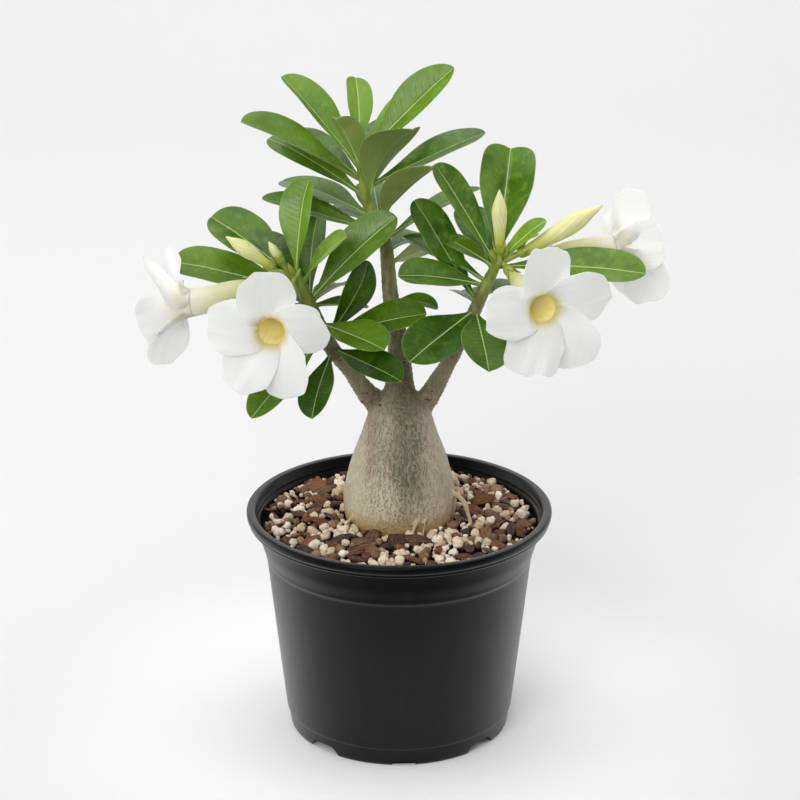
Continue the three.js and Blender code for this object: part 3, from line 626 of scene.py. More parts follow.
def rounded_box(size, radius, z, angle, round_by, flare=1.0):
    """A box at a radius and an angle, flare times as wide at its underside."""
    corners = np.array([
        [x, y * (flare if w < 0 else 1), w] for x in (-1, 1) for y in (-1, 1) for w in (-1, 1)])
    corners = corners * (np.array(size) / 2) + [radius, 0, z]
    c, s = cos(angle), sin(angle)
    turned = corners @ np.array([[c, s, 0], [-s, c, 0], [0, 0, 1]])
    faces = [[0, 1, 3, 2], [4, 6, 7, 5], [0, 4, 5, 1], [2, 3, 7, 6], [0, 2, 6, 4], [1, 5, 7, 3]]
    box = show("box", mesh_of("box", turned * MM, faces))
    bevel = box.modifiers.new("round", "BEVEL")
    bevel.width, bevel.segments = round_by * MM, 4
    return applied(box)


# Trunk

TRUNK_FOOT = np.array([0.3, 5.0, 92.0])
TRUNK_SIDES, BRANCH_SIDES, STEM_SIDES, ROOT_SIDES = 72, 32, 24, 14
BARK_VOXEL = 0.7
# Radius of the swollen trunk by the height above its foot.
CAUDEX = [
    (0, 12), (12, 24.5), (24, 29.1), (35, 30.5), (43, 29.5), (53, 27.3), (61, 25.2), (69, 22.3),
    (77, 19.6), (85, 17.3), (93, 13.4), (98, 9),
]
BRANCHES = {
    "left": {
        "line": [
            (-5, 5, 168), (-12.8, 5, 184), (-17.6, 3, 190), (-25.9, -1, 204), (-34.1, -5, 215.5),
            (-40.2, -8, 228), (-45.2, -9, 240), (-49.7, -10, 251), (-53.2, -10, 260),
        ],
        "radii": [(168, 8), (184, 6.4), (194, 5.3), (206, 4.5), (220, 4.1), (240, 3.6), (255, 2.9),
                  (261, 1.6)],
        "split": 214,
    },
    "centre": {
        "line": [
            (0.3, 5, 172), (0.4, 5, 186), (0.4, 6, 203), (-0.6, 8, 220), (-3.3, 9, 233.5),
            (-4.8, 10, 244), (-5.9, 11, 257.5), (-7.4, 12, 271), (-12.6, 13, 282.7),
            (-16.7, 14, 292), (-18.2, 15, 302.5), (-20.2, 15, 313.5), (-21.2, 15, 325),
        ],
        "radii": [(172, 12), (186, 10), (193, 8.2), (203, 7), (214, 6), (225, 5.1), (236, 4.5),
                  (250, 4), (270, 3.5), (295, 3), (312, 2.4), (325, 1.3)],
        "split": 233,
    },
    "right": {
        "line": [
            (5.5, 5, 168), (13.2, 5, 183), (16.3, 3, 188.5), (22, -1, 200), (29.7, -6, 216.5),
            (34.3, -9, 228.5), (38.8, -11, 239), (43.8, -13, 252), (48.8, -13, 263),
            (52.8, -13, 271.5),
        ],
        "radii": [(168, 8), (183, 6.4), (193, 5.3), (205, 4.4), (218, 3.9), (240, 3.5), (258, 3.1),
                  (272, 1.8)],
        "split": 235,
    },
}
for branch in BRANCHES.values():
    branch["path"] = through(branch["line"])
ROOTS = [
    ([(24, -1, 134.5), (30, -2, 133.2), (34.4, -4, 130), (37, -6, 124), (38.8, -8, 117),
      (40, -9, 111)], 1.6),
    ([(9.8, -19, 129), (9.4, -24, 126.8), (7.2, -28.4, 122.6), (4.4, -31.5, 116)], 1.25),
    ([(14.8, -17, 129), (14.3, -21.8, 127), (13.2, -25.6, 123.6), (12.2, -28, 117)], 0.85),
    ([(-24, -11, 125), (-28, -14, 121), (-31, -17, 116), (-33, -19, 111)], 1.1),
    ([(-12, 32, 133), (-16, 36.5, 127), (-20, 41, 120), (-23, 44, 113)], 1.7),
]
# Lumps, folds and fine wrinkles of the bark: depth and scale.
LUMPS = [(0.55, (0.07, 0.07, 0.045)), (0.3, (0.33, 0.33, 0.08)), (0.12, (0.9, 0.9, 0.22))]
# Scars where branches or leaves fell: place, width, height and, for an old one, how dark.
SCARS = [
    ((-0.6, -4, 197.3), 3.0, 0.9), ((3.4, -4, 196.7), 1.8, 0.8),
    ((2.4, -16.4, 177.4), 3.8, 1.1, 0.75), ((-17.6, -2.5, 191.4), 3.0, 0.9),
    ((-13.6, -4, 188.4), 2.2, 0.8), ((-19.4, -1, 186), 2.6, 1.1), ((-11, -6, 185.2), 2.8, 0.7),
    ((10.4, -5, 190.8), 2.4, 0.8), ((15.2, -3, 188), 3.0, 0.9), ((19.6, -1.5, 184.6), 2.2, 1.0),
    ((17.2, -3, 193), 2.0, 0.7),
    ((-22, 0.5, 199), 2.6, 0.9), ((22, 0, 201), 2.6, 0.9), ((28, -6.5, 214), 3.0, 1.0),
    ((-31, -6.5, 212), 3.0, 1.0), ((-1, 3.5, 219), 3.0, 1.0), ((2.5, 2, 208), 2.4, 0.8),
]


def branch_rings(branch, start, stop, step, sides, ripple=0.0):
    path, rings = branch["path"], []
    for distance in np.arange(start, stop + step / 2, step):
        radius = soft_profile(branch["radii"], path.at(min(distance, path.length))[2])
        radius *= 1 + ripple * sin(distance * 1.9) * sin(distance * 0.37 + 1)
        rings.append(ring(path, distance, sides, radius, BACK))
    return rings


def read(items, key):
    values = np.empty(len(items) * 3, np.float32)
    items.foreach_get(key, values)
    return values.reshape(-1, 3)


def trunk_piece(material):
    body = Piece(material)
    line = Path([TRUNK_FOOT, TRUNK_FOOT + [0, 0, 100]])
    heights = np.linspace(0, 98, 60)
    radii = soft_profile(CAUDEX, heights)
    body.wrap([ring(line, h, TRUNK_SIDES, r, BACK) for h, r in zip(heights, radii)])
    for branch in BRANCHES.values():
        end = branch["path"].at_height(branch["split"])
        body.wrap(branch_rings(branch, 0, end, 1.2, BRANCH_SIDES))
    for line, radius in ROOTS:
        path, shares = through(line), np.linspace(0, 1, 30)
        radii = radius * (1.1 - 0.3 * shares + 0.08 * np.sin(17 * shares))
        body.wrap([
            ring(path, s * path.length, ROOT_SIDES, r, BACK) for s, r in zip(shares, radii)])
    trunk = body.make("trunk_bark", "trunk", "bark")
    remesh = trunk.modifiers.new("join", "REMESH")
    remesh.mode, remesh.voxel_size = "VOXEL", BARK_VOXEL * MM
    soften = trunk.modifiers.new("soften", "SMOOTH")
    soften.factor, soften.iterations = 0.5, 5
    mesh = applied(trunk).data
    points = read(mesh.vertices, "co") / MM
    normals = read(mesh.vertex_normals, "vector")
    relief = sum(depth * noise_at(points, scale) for depth, scale in LUMPS)
    # Fine ring wrinkles where the branches leave the swollen foot.
    x, z = points[:, 0], points[:, 2]
    relief += 0.16 * np.sin(z * 2.4 + 1.3 * np.sin(x * 0.4)) * smooth(z, 176, 186)
    aside = noise_at(points, (0.6, 0.2, 0.6))
    upward = noise_at(points, (0.5, 0.2, 0.3), (0, 7, 0))
    stray = np.stack([1.3 * aside, np.zeros(len(points)), 0.75 * upward], -1)
    tint = np.zeros((len(points), 3))
    for place, width, height, *dark in SCARS:
        u, v, w = (points - np.array(place) + stray).T
        reach = (u / width) ** 2 + (w / height) ** 2 + (v / 8) ** 4
        scar = np.exp(-1.6 * reach) * (0.8 + 0.9 * upward) * (dark[0] if dark else 1)
        tint[:, 0] = np.maximum(tint[:, 0], scar)
        relief += 0.4 * np.exp(-4 * (np.sqrt(reach) - 1.0) ** 2) - 0.5 * np.exp(-3 * reach)
    points += normals * (relief - 0.12)[:, None]
    mesh.vertices.foreach_set("co", (points * MM).astype(np.float32).ravel())
    # Points on the thin side roots.
    for line, radius in ROOTS:
        spots = through(line).points[::6]
        gaps = np.min([np.linalg.norm(points - spot, axis=1) for spot in spots], axis=0)
        tint[:, 1] = np.maximum(tint[:, 1], 1 - smooth(gaps, radius * 1.15, radius * 1.7))
    keep(mesh, "tint", tint)
    if not mesh.materials:
        mesh.materials.append(material)
    mesh.shade_smooth()
    mesh.update()


# Leafy shoots

# Base height, turn, rise, length, width, arch, roll, fold, how young and how blunt.
LEAVES = {
    "centre": [
        (308, 149, 43, 66.5, 22.5, 7, -3, 0.5, 0.45, 0.35),
        (319, 93, 46, 45, 14.5, 8, 20, 0.28, 0.75, 1.0),
        (314.5, 2, 45.5, 68.5, 22.5, 4, 39, 0.45, 0.35, 0.05),
        (318, 33, 38, 48, 15, 10, 15, 0.28, 0.6, 0.1),
        (311, 220, 62, 33, 15, 6, 25, 0.7, 0.45, 0.5),
        (291.5, 326, 58, 52.5, 33, 63, -15, 0.2, 0.25, 0.05),
        (299.5, 6.5, 24.5, 69, 23, 3, 13, 0.25, 0.1, 0.1),
        (280.5, 309, 43, 60.5, 27, 21, -3, 0.25, 0.1, 0.1),
        (303, 191, 29.5, 73, 25.5, 8.5, -14.5, 0.47, 0.2, 0.3),
        (303, 139, 20, 58, 22, 8, 5, 0.28, 0.1, 0.1),
        (294.5, 151.5, 23.5, 64, 22, 7.5, -13.5, 0.22, 0.1, 0.3),
        (283, 142, 9.5, 64.5, 26, 16.5, -4.5, 0.15, 0.05, 0.1),
        (275.5, 174.5, 16.5, 65.5, 21, 2, -11, 0.31, 0.05, 0.1),
        (280, 128, -3, 50, 20, 15, 0, 0.28, 0, 0.1),
        (296, 75, 30, 58, 22, 15, 0, 0.28, 0.1, 0.1),
        (276, 95, 12, 56, 22, 15, 0, 0.28, 0, 0.1),
        (272, 33, 18, 64, 19, 10, -5, 0.28, 0.05, 0.1),
        (259, 50, 1, 45, 20, 6, -60, 0.28, 0, 0.1),
        (266, 62, -3, 46, 20, 10, 0, 0.28, 0, 0.1),
        (238, 350, -4, 25, 14, 50, 10, 0.28, 0.3, 0.1),
    ],
    "right": [
        (265, 79, 47, 70, 28.5, 21, 8, 0.7, 0.15, 0.75),
        (266, 151, 54, 61, 20, 3, -10.5, 0.27, 0.1, 0.45),
        (244.5, 147.5, 53, 63.5, 21.5, 3, -18.5, 0.26, 0, 0.35),
        (264.5, 146, 19.5, 35, 12.5, 9, -16.5, 0.24, 0.3, 0.5),
        (255, 195, 12, 48, 22, 10, -25, 0.28, 0.1, 0.3),
        (244, 102, -6, 38, 18, 10, 0, 0.28, 0, 0.1),
        (241.5, 230, -14.5, 55, 27, 8, -27, 0.25, 0, 0.3),
        (241, 277, -17, 52, 26, 10, -10, 0.28, 0.05, 0.2),
        (268, 357, 44, 33, 11, 15, 35, 0.28, 0.95, 0.2),
        (266, 55, 12, 40, 13, 8, -15, 0.28, 0.5, 0.1),
        (265, 340, 4, 80, 24, 14, 28, 0.28, 0.3, 0.4),
        (257, 147, 17, 55, 20, 10, 0, 0.28, 0, 0.1),
        (251, 56, -15, 50, 20, 12, 15, 0.28, 0, 0.1),
        (262, 104, 24, 55, 22, 12, 0, 0.28, 0.1, 0.1),
    ],
    "left": [
        (260, 66.5, 74, 49.5, 20.5, 24, -15, 0.55, 0.5, 0.55),
        (256, 157, 31, 58.5, 26, 2, -30, 0.42, 0.1, 0.5),
        (251, 165, 9, 72.5, 24, 2, -29, 0.3, 0.3, 0.6),
        (243, 87, 35, 62, 22, 10, -35, 0.28, 0.05, 0.3),
        (254.5, 320, 46.5, 44.5, 18, 15, 40, 0.3, 0.5, 0.5),
        (244.5, 4.5, 45, 64.5, 24, 18, 39, 0.4, 0.15, 0.3),
        (224.5, 17.7, 57.7, 46.4, 21, 31, 110, 0.03, 0, 0.08),
        (233, 314, -2, 50, 24, 10, 15, 0.28, 0.28, 0.3),
        (225, 350, 17, 56, 22, 12, 28, 0.28, 0.15, 0.4),
        (218, 320, -8, 48, 22, 12, 18, 0.28, 0, 0.1),
        (217, 257, -25, 50, 19, 6, 13, 0.22, 0, 0.1),
        (225, 221, -33, 60, 22, 10, -10, 0.28, 0.35, 0.1),
        (245, 213.5, -3.5, 60, 20, 2, -5.5, 0.12, 0.2, 0.1),
        (244, 66, -2, 45, 18, 10, -15, 0.28, 0, 0.1),
        (243, 33, -10, 36, 16, 6, 0, 0.28, 0, 0.1),
        (245, 105, -38, 38, 16, 10, 0, 0.28, 0, 0.1),
        (249, 122, 22, 56, 22, 12, 0, 0.28, 0, 0.1),
        (237, 116, 8, 54, 22, 15, 0, 0.28, 0, 0.1),
    ],
}
LEAF_ROWS, LEAF_COLUMNS = 34, 19
LEAF_WIDEST = 0.66  # share of the length
STALK_END = 0.07  # share of the length
STALK_HALF = 1.1


def edge_to_edge(count, crowding):
    """Places from -1 to 1, closer together towards both ends."""
    end = crowding * pi / 2
    return np.sin(np.linspace(-end, end, count)) / sin(end)


def add_blade(piece, top, bottom, place, front, back):
    """Adds rows of points that run over the top, with the front's tint, and return below."""
    pairs = (top, bottom), (place, place), (front, back)
    points, place, tint = (np.concatenate([a, b[:, ::-1]], axis=1) for a, b in pairs)
    piece.wrap(points, 0, place, tint)


def leaf_half_width(t, width, blunt):
    share = np.clip((t - STALK_END) / (LEAF_WIDEST - STALK_END), 0, 1)
    low = STALK_HALF + (width / 2 - STALK_HALF) * ((1 - np.cos(pi * share)) / 2) ** 0.8
    past = np.clip((t - LEAF_WIDEST) / (1 - LEAF_WIDEST), 0, 1)
    high = (width / 2) * np.maximum(0, 1 - past ** (2 + 2.4 * blunt)) ** (0.58 - 0.16 * blunt)
    return np.where(t > LEAF_WIDEST, np.maximum(high, 0.2), low)


def add_leaf(piece, base, row, random):
    turn, rise, length, width, arch, roll, fold, young, blunt = row
    phi, slope, twist, bend = (radians(v) for v in (turn, rise, roll, arch))
    along, level = direction(phi, slope), direction(phi + pi / 2, 0)
    above = np.cross(along, level)
    side = level * cos(twist) + above * sin(twist)
    face = above * cos(twist) - level * sin(twist)
    t = 1 - (1 - np.linspace(0, 1, LEAF_ROWS)) ** 1.55
    a = edge_to_edge(LEAF_COLUMNS, 0.86)
    # The midrib is an arc of a circle.
    angle, radius = (t - 0.5) * bend, length / (2 * sin(bend / 2))
    spine = base + np.outer(length / 2 + radius * np.sin(angle), along)
    spine = spine + np.outer(radius * (np.cos(angle) - cos(bend / 2)), face)
    normal = np.outer(np.cos(angle), face) + np.outer(np.sin(angle), along)
    phase, beat, _ = random.uniform(0, ANY_PHASE, 3)
    swing = random.uniform(-0.5, 0.5)
    tip_curl = random.uniform(0.3, 1.5)
    A, T, H = a[None, :], t[:, None], leaf_half_width(t, width, blunt)[:, None]
    from_rib = A * H
    # The blade folds up from the midrib, its margins wave, and its tip curls down.
    lift = fold * H * (1.28 * (np.sqrt(A**2 + 0.0025) - 0.05) - 0.28 * A**2)
    wave = 0.55 * np.sin(7.5 * T + phase + 1.2 * np.sign(A) * beat)
    lift = lift + wave * A**2 * smooth(T, 0.15, 0.5) * H / 11 - tip_curl * smooth(T, 0.72, 1.0)
    blade = 0.62 * (1 - 0.72 * np.abs(A) ** 5)
    blade = blade + 0.5 * np.exp(-(from_rib / 0.9) ** 2) * (1 - 0.6 * T)
    stalk = 1.7 * np.sqrt(np.maximum(0.02, 1 - 0.9 * A**2))
    part = smooth(T, 0.1, 0.24)
    thick = stalk * (1 - part) + blade * part
    groove = 0.28 * np.exp(-(from_rib / 0.45) ** 2) * smooth(T, 0.05, 0.2)
    offset = swing * np.sin(pi * T) * 1.6
    top = spine[:, None] + side * (from_rib + offset)[:, :, None]
    top = top + normal[:, None] * (lift - groove)[:, :, None]
    bottom = top - normal[:, None] * (thick - groove * 0.5)[:, :, None]
    place = np.stack(np.broadcast_arrays(from_rib, T, H), -1)
    front, back = np.zeros(top.shape), np.zeros(top.shape)
    front[:, :, :2] = back[:, :, :2] = young, random.uniform(0, 1)
    back[:, :, 2] = 1
    add_blade(piece, top, bottom, place, front, back)


def add_stem(piece, branch):
    path = branch["path"]
    start = path.at_height(branch["split"]) - 0.4
    rings = branch_rings(branch, start, path.length, 0.8, STEM_SIDES, 0.035)
    tint = np.zeros((len(rings), STEM_SIDES, 3))
    tint[:, :, 0] = smooth(np.linspace(0, 1, len(rings)), 0.1, 0.75)[:, None]
    piece.wrap(rings, 1, tint=tint)


def clear_radius(profile, distance, length):
    shares, radii = zip(*profile)
    return np.interp(np.maximum(0, distance / length), shares, radii) + 0.3


def add_calyx(piece, flower, random):
    """A stalk and a cup whose rim runs out in five narrow, pointed sepals."""
    path, profile, reference, sepal = (flower[k] for k in ("path", "profile", "reference", "sepal"))
    foot, tangent = path.at(0), path.tangent(0)
    branch = BRANCHES[flower["shoot"]]["path"]
    start = branch.at(branch.at_height(flower["from"]))
    heel = foot - 3 * tangent
    bend = heel - 0.4 * np.linalg.norm(heel - start) * tangent
    stalk = through([start, bend, heel, foot])
    sides = 60
    turn = around(sides)
    near = np.abs((turn * 5 / TAU + 0.5) % 1 - 0.5) * 2
    reach = 1.5 + (sepal - 1.5) * np.maximum(0, 1 - near / 0.82) ** 0.85
    reach = reach * (1 + 0.12 * np.sin(turn * 2 + random.uniform(0, 6)))
    pointed = smooth(reach, 2, sepal)
    rings = [
        ring(stalk, s * (stalk.length - 2.2), sides, 1.5 - 0.15 * sin(3 * s), reference)
        for s in np.linspace(0, 1, 8)
    ]
    rings.append(ring(path, -1.2, sides, clear_radius(profile, 0, path.length) + 0.35, reference))
    pale = [np.zeros(sides)] * 8 + [np.full(sides, 0.15)]
    # Out along the backs of the sepals, and in again along their faces.
    steps = [(s, 1.0, 0.85 - 0.35 * s) for s in np.linspace(0, 1, 8)]
    steps += [(s, 0.985, 0.12) for s in np.linspace(1, 0, 5)]
    for share, extent, gap in steps:
        distance = share * reach * extent
        radius = clear_radius(profile, distance, path.length) + gap + 0.5 * share**2 * pointed
        rings.append(ring(path, 0, sides, radius, reference, distance))
        pale.append(share * pointed)
    tint = np.ones((len(rings), sides, 3))
    tint[:, :, 1] = random.uniform(0, 1)
    tint[:, :, 2] = 0.25 + 0.5 * np.array(pale)
    piece.wrap(rings, 1, tint=tint)


def add_green_bud(piece, foot, tip, radius, random):
    path = bezier(foot, tip)
    shares = np.linspace(0, 1, 14)
    sizes = radius * soft_profile([(0, 0.7), (0.5, 1), (0.8, 0.6), (1, 0.12)], shares)
    rings = [
        ring(path, s * path.length, 20, size * (1 + 0.07 * np.cos(5 * around(20) + 4 * s)), BACK)
        for s, size in zip(shares, sizes)
    ]
    piece.wrap(rings, 1, tint=(1.0, random.uniform(0, 0.6), 0.35))


# Flowers

# Radius of the tube by the share of its length.
TUBE = [(0, 1.7), (0.1, 2.4), (0.2, 3.9), (0.34, 5.5), (0.58, 6.6), (0.8, 7.2), (0.93, 7.5)]
# Each petal's row: turn, radius at the tip, way out of the mouth, width, and twist if unusual.
BLOOMS = {
    "left_front": {
        "shoot": "left", "from": 252, "foot": (-55.5, -18, 255.5), "mouth": (-65.8, -54, 242.4),
        "azimuth": -102, "elevation": 6, "reference": SIDEWAYS,
        "petals": [
            (12, 31, 2, 28), (95, 32, 1, 29), (173, 32, 3, 28), (238, 33.5, 4, 29),
            (294, 34, 5, 29),
        ],
    },
    "left_side": {
        "shoot": "left", "from": 255, "foot": (-73, -17, 259), "mouth": (-112, -22, 248),
        "azimuth": 170, "elevation": -6, "reference": UP,
        "petals": [
            (-12, 20, 19, 25, 0), (62, 31, 14, 28, 12), (114, 29, 8, 26, 24), (198, 26, 9.5, 25, 0),
            (268, 33, 15, 26, 32),
        ],
    },
    "right_front": {
        "shoot": "right", "from": 262, "foot": (56, -21, 266), "mouth": (73.7, -59, 256.2),
        "azimuth": -76, "elevation": 6, "reference": SIDEWAYS,
        "petals": [
            (15, 35, 1, 28), (87, 33, 1, 28), (178, 32, 3, 27), (250, 34, 4, 29), (306, 35, 3, 29),
        ],
    },
    "right_back": {
        "shoot": "right", "from": 266, "foot": (73, -8, 271), "mouth": (115.5, -1, 272.5),
        "azimuth": 22, "elevation": 3, "reference": UP,
        "petals": [
            (22, 29, 7, 26), (95, 30, 8, 26), (165, 30, 10, 25, -12), (228, 33, 11, 26, -40),
            (285, 35, 9, 26, -34),
        ],
    },
}
BUDS = {
    "right_upright": {
        "shoot": "right", "from": 264, "sag": 0,
        "foot": (51.6, -17.5, 275.5), "tip": (51.1, -17.5, 307.5),
        "profile": [(0, 2.1), (0.3, 3), (0.55, 3.9), (0.64, 4), (0.78, 3), (0.9, 1.6), (1, 0.3)],
    },
    "right_long": {
        "shoot": "right", "from": 266, "sag": -1.5,
        "foot": (63, -15.5, 273.5), "tip": (104.4, -12, 297.8),
        "profile": [
            (0, 1.9), (0.2, 3.1), (0.42, 4.5), (0.62, 5), (0.74, 4.2), (0.86, 2.4), (1, 0.5),
        ],
    },
    "left_long": {
        "shoot": "left", "from": 252, "sag": 0.5,
        "foot": (-66, -12, 264.5), "tip": (-89, -14, 281.5),
        "profile": [(0, 1.8), (0.3, 2.9), (0.5, 4), (0.62, 4.1), (0.78, 2.9), (0.9, 1.5), (1, 0.3)],
    },
    "left_small": {
        "shoot": "left", "from": 255, "sag": 0,
        "foot": (-61.5, -9, 267), "tip": (-67.3, -10, 277.5),
        "profile": [(0, 1.4), (0.4, 2.3), (0.65, 2.2), (0.85, 1.2), (1, 0.3)],
    },
}
# Tiny buds beside the flowers: foot, tip and radius.
GREEN_BUDS = {
    "left": [((-54, -11, 259), (-57.5, -13.5, 267), 1.5), ((-53, -12, 258), (-51, -16, 265), 1.3)],
    "right": [((53, -14, 269), (56, -18, 277.5), 1.6), ((51, -14, 268), (47, -16.5, 275.5), 1.4)],
    "centre": [],
}


PETAL_ROWS, PETAL_COLUMNS = 36, 27
PETAL_WIDEST = 0.68  # share of the length
ROOT_HALF = 5.2  # half width of a petal at the tube
PETAL_TWIST = 9  # degrees, where a petal's row gives none
BLOOM_SEPAL, BUD_SEPAL = 6.2, 4.6  # how far the sepals reach


def facing(flower):
    out = direction(radians(flower["azimuth"]), radians(flower["elevation"]))
    up = unit(UP - out * out[2])
    return out, up, np.cross(up, out)


def tube_path(flower):
    out = facing(flower)[0]
    foot, mouth = (np.array(flower[k], float) for k in ("foot", "mouth"))
    reach = np.linalg.norm(mouth - foot) * 0.36
    bend = mouth - out * reach
    return bezier(foot, foot + unit(bend - foot) * reach, bend, mouth)


def bud_path(bud):
    foot, tip = (np.array(bud[k], float) for k in ("foot", "tip"))
    return bezier(foot, (foot + tip) / 2 + UP * bud["sag"], tip)


for flower in BLOOMS.values():
    flower.update(path=tube_path(flower), profile=TUBE, sepal=BLOOM_SEPAL)
for bud in BUDS.values():
    bud.update(path=bud_path(bud), reference=BACK, sepal=BUD_SEPAL)


def add_petal(piece, flower, order, random):
    angle, radius, reach, width, *twisted = flower["petals"][order]
    out, up, right = facing(flower)
    turn = radians(angle)
    outward = right * cos(turn) + up * sin(turn)
    side = np.cross(out, outward)
    t = 1 - (1 - np.linspace(0, 1, PETAL_ROWS)) ** 1.25
    # Down the middle: (distance from the axis, way out of the mouth), from inside the tube.
    start, middle, end = (6.75, -6.4), (7.7, max(1.8, reach * 0.5)), (radius, reach)
    r, z = (
        (1 - t) ** 2 * p + 2 * t * (1 - t) * q + t**2 * s for p, q, s in zip(start, middle, end))
    dr, dz = (2 * (1 - t) * (q - p) + 2 * t * (s - q) for p, q, s in zip(start, middle, end))
    normal_out, normal_in = np.stack([dr, -dz]) / np.hypot(dr, dz)
    past = np.clip((t - PETAL_WIDEST) / (1 - PETAL_WIDEST), 0, 1)
    grow = np.sin(pi / 2 * np.clip(t / PETAL_WIDEST, 0, 1)) ** 0.8
    tip = width / 2 * np.maximum(0, 1 - past**3.4) ** 0.47
    half = np.where(t > PETAL_WIDEST, tip, ROOT_HALF + (width / 2 - ROOT_HALF) * grow)
    phases = random.uniform(0, ANY_PHASE, 6)
    uneven = 0.035 * np.sin(9 * t + phases[0]) * t + 0.018 * np.sin(19 * t + phases[2])
    half = half * (1 + uneven) + 0.15
    A, T, R = edge_to_edge(PETAL_COLUMNS, 0.9)[None, :], t[:, None], r[:, None]
    lateral = A * half[:, None]
    out_to = lateral / (width / 2)
    lift = 0.22 * lateral * T - 1.2 * T * out_to**2 + T * (
        0.9 * out_to**2 * np.sin(5 * T + 2.1 * out_to + 1.7 * order)
        + 0.5 * T * out_to**4 * np.sin(11 * T + 3 * out_to + phases[1])
        + 0.3 * T**2 * np.sin(8 * out_to + phases[2]) + 0.14 * np.cos(11 * out_to + phases[3]))
    # Near the tube the petal bends round its wall.
    flat = smooth(R, 8.5, 17)
    bow = np.clip(lateral / np.maximum(R, 6), -1.2, 1.2)
    lateral = lateral * flat + (1 - flat) * R * np.sin(bow)
    ragged = 1.3 * np.sin(3.1 * out_to + phases[4]) + 0.9 * np.sin(7.3 * out_to + phases[5])
    radial = R * (flat + (1 - flat) * np.cos(bow))
    radial = radial + ragged * smooth(T, 0.65, 1) * np.minimum(1, 2 * np.abs(out_to))
    normal = out[None] * normal_out[:, None] + outward[None] * normal_in[:, None]
    twist = radians(twisted[0] if twisted else PETAL_TWIST) * smooth(T, 0.2, 0.75)
    sideways = side * np.cos(twist) + normal * np.sin(twist)
    normal = normal * np.cos(twist) - side * np.sin(twist)
    top = np.array(flower["mouth"]) + outward * radial[:, :, None] + out * z[:, None, None]
    top = top + sideways[:, None] * lateral[:, :, None] + normal[:, None] * lift[:, :, None]
    thick = 0.42 * (1 - 0.55 * np.abs(A) ** 4) * (1 - 0.3 * T)
    bottom = top - normal[:, None] * thick[:, :, None]
    place = np.stack(np.broadcast_arrays(np.hypot(radial, lateral), z[:, None], lateral), -1)
    front, back = np.zeros(top.shape), np.zeros(top.shape)
    front[:, :, 1] = back[:, :, 1] = order + random.uniform(0, 1)
    back[:, :, 0] = 1 - smooth(z, -3, 3)[:, None]
    add_blade(piece, top, bottom, place, front, back)


def bloom_piece(name, flower, material, random):
    piece = Piece(material)
    path = flower["path"]
    length, turn = path.length, around(64)
    brim = 1 - 5.4 / length
    outside, inside = np.linspace(0.0, brim, 34), np.linspace(brim, 0.12, 30)
    stations = [(s * length, r, 1.0) for s, r in zip(outside, soft_profile(TUBE, outside))]
    # The wall ends behind the petals and turns back into the throat.
    stations += [(length - 5.15, 7.2, 0.0), (length - 5.05, 7.02, 0.0), (length - 5.2, 6.86, 0.0)]
    stations += [
        (s * length, max(0.5, r - 0.45), 0.0) for s, r in zip(inside, soft_profile(TUBE, inside))]
    ribs = 1 + 0.012 * np.cos(5 * turn + 0.6)
    piece.wrap(
        [ring(path, d, len(turn), r * ribs, flower["reference"]) for d, r, _ in stations],
        place=[np.stack(np.broadcast_arrays(r, d - length, turn * 3), -1) for d, r, _ in stations],
        tint=[np.tile((outer, 0.3, 0), (len(turn), 1)) for _, _, outer in stations])
    for order in range(5):
        add_petal(piece, flower, order, random)
    piece.make(f"bloom_{name}_corolla", f"bloom_{name}", "petals")


def bud_piece(name, bud, material):
    path, turn = bud["path"], around(60)
    shares = np.linspace(0, 1, 60)
    rings, place = [], []
    for share, radius in zip(shares, np.maximum(0.12, soft_profile(bud["profile"], shares))):
        spiral = (turn * 5 / TAU - 1.9 * share) % 1
        lap = 0.055 * (spiral - 0.5) * smooth(share, 0.3, 0.6)
        swell = 1 + lap + 0.02 * np.cos(2 * turn + 5 * share)
        rings.append(ring(path, share * path.length, len(turn), radius * swell, BACK))
        place.append(np.stack(np.broadcast_arrays(share, turn - 2.4 * share, 0), -1))
    piece = Piece(material)
    piece.wrap(rings, place=place)
    piece.make(f"bud_{name}_petals", f"bud_{name}", "buds")


def shoot_piece(name, leaf, stem, random):
    branch = BRANCHES[name]
    path = branch["path"]
    piece = Piece(leaf, stem)
    add_stem(piece, branch)
    for z, *row in LEAVES[name]:
        add_leaf(piece, path.at(path.at_height(z)), row, random)
    for flower in (*BLOOMS.values(), *BUDS.values()):
        if flower["shoot"] == name:
            add_calyx(piece, flower, random)
    for foot, tip, radius in GREEN_BUDS[name]:
        add_green_bud(piece, foot, tip, radius, random)
    piece.make(f"leafy_shoot_{name}_foliage", f"leafy_shoot_{name}", "foliage")


# Potting mix

MIX_SIDES = 120
WALL = 74.2  # radius of the pot's inside at the mix
INNERMOST = 27  # radius from the pot's axis within which nothing lies
TRUNK_CLEAR = 29.5  # radius kept clear round the trunk
MIX_TOP, MIX_FALL = 119, 1.4  # height of the mix by the trunk, and its fall towards the wall


def mix_surface(radius):
    share = np.minimum(1, radius / 74)
    return MIX_TOP - MIX_FALL * share * share


def round_ball(divisions):
    """The points and faces of a round ball, in unit size."""
    ball = bmesh.new()
    bmesh.ops.create_icosphere(ball, subdivisions=divisions, radius=1.0)
    points = np.array([v.co[:] for v in ball.verts])
    faces = [[v.index for v in f.verts] for f in ball.faces]
    ball.free()
    return points, faces


BALLS = {divisions: round_ball(divisions) for divisions in (1, 2, 3)}


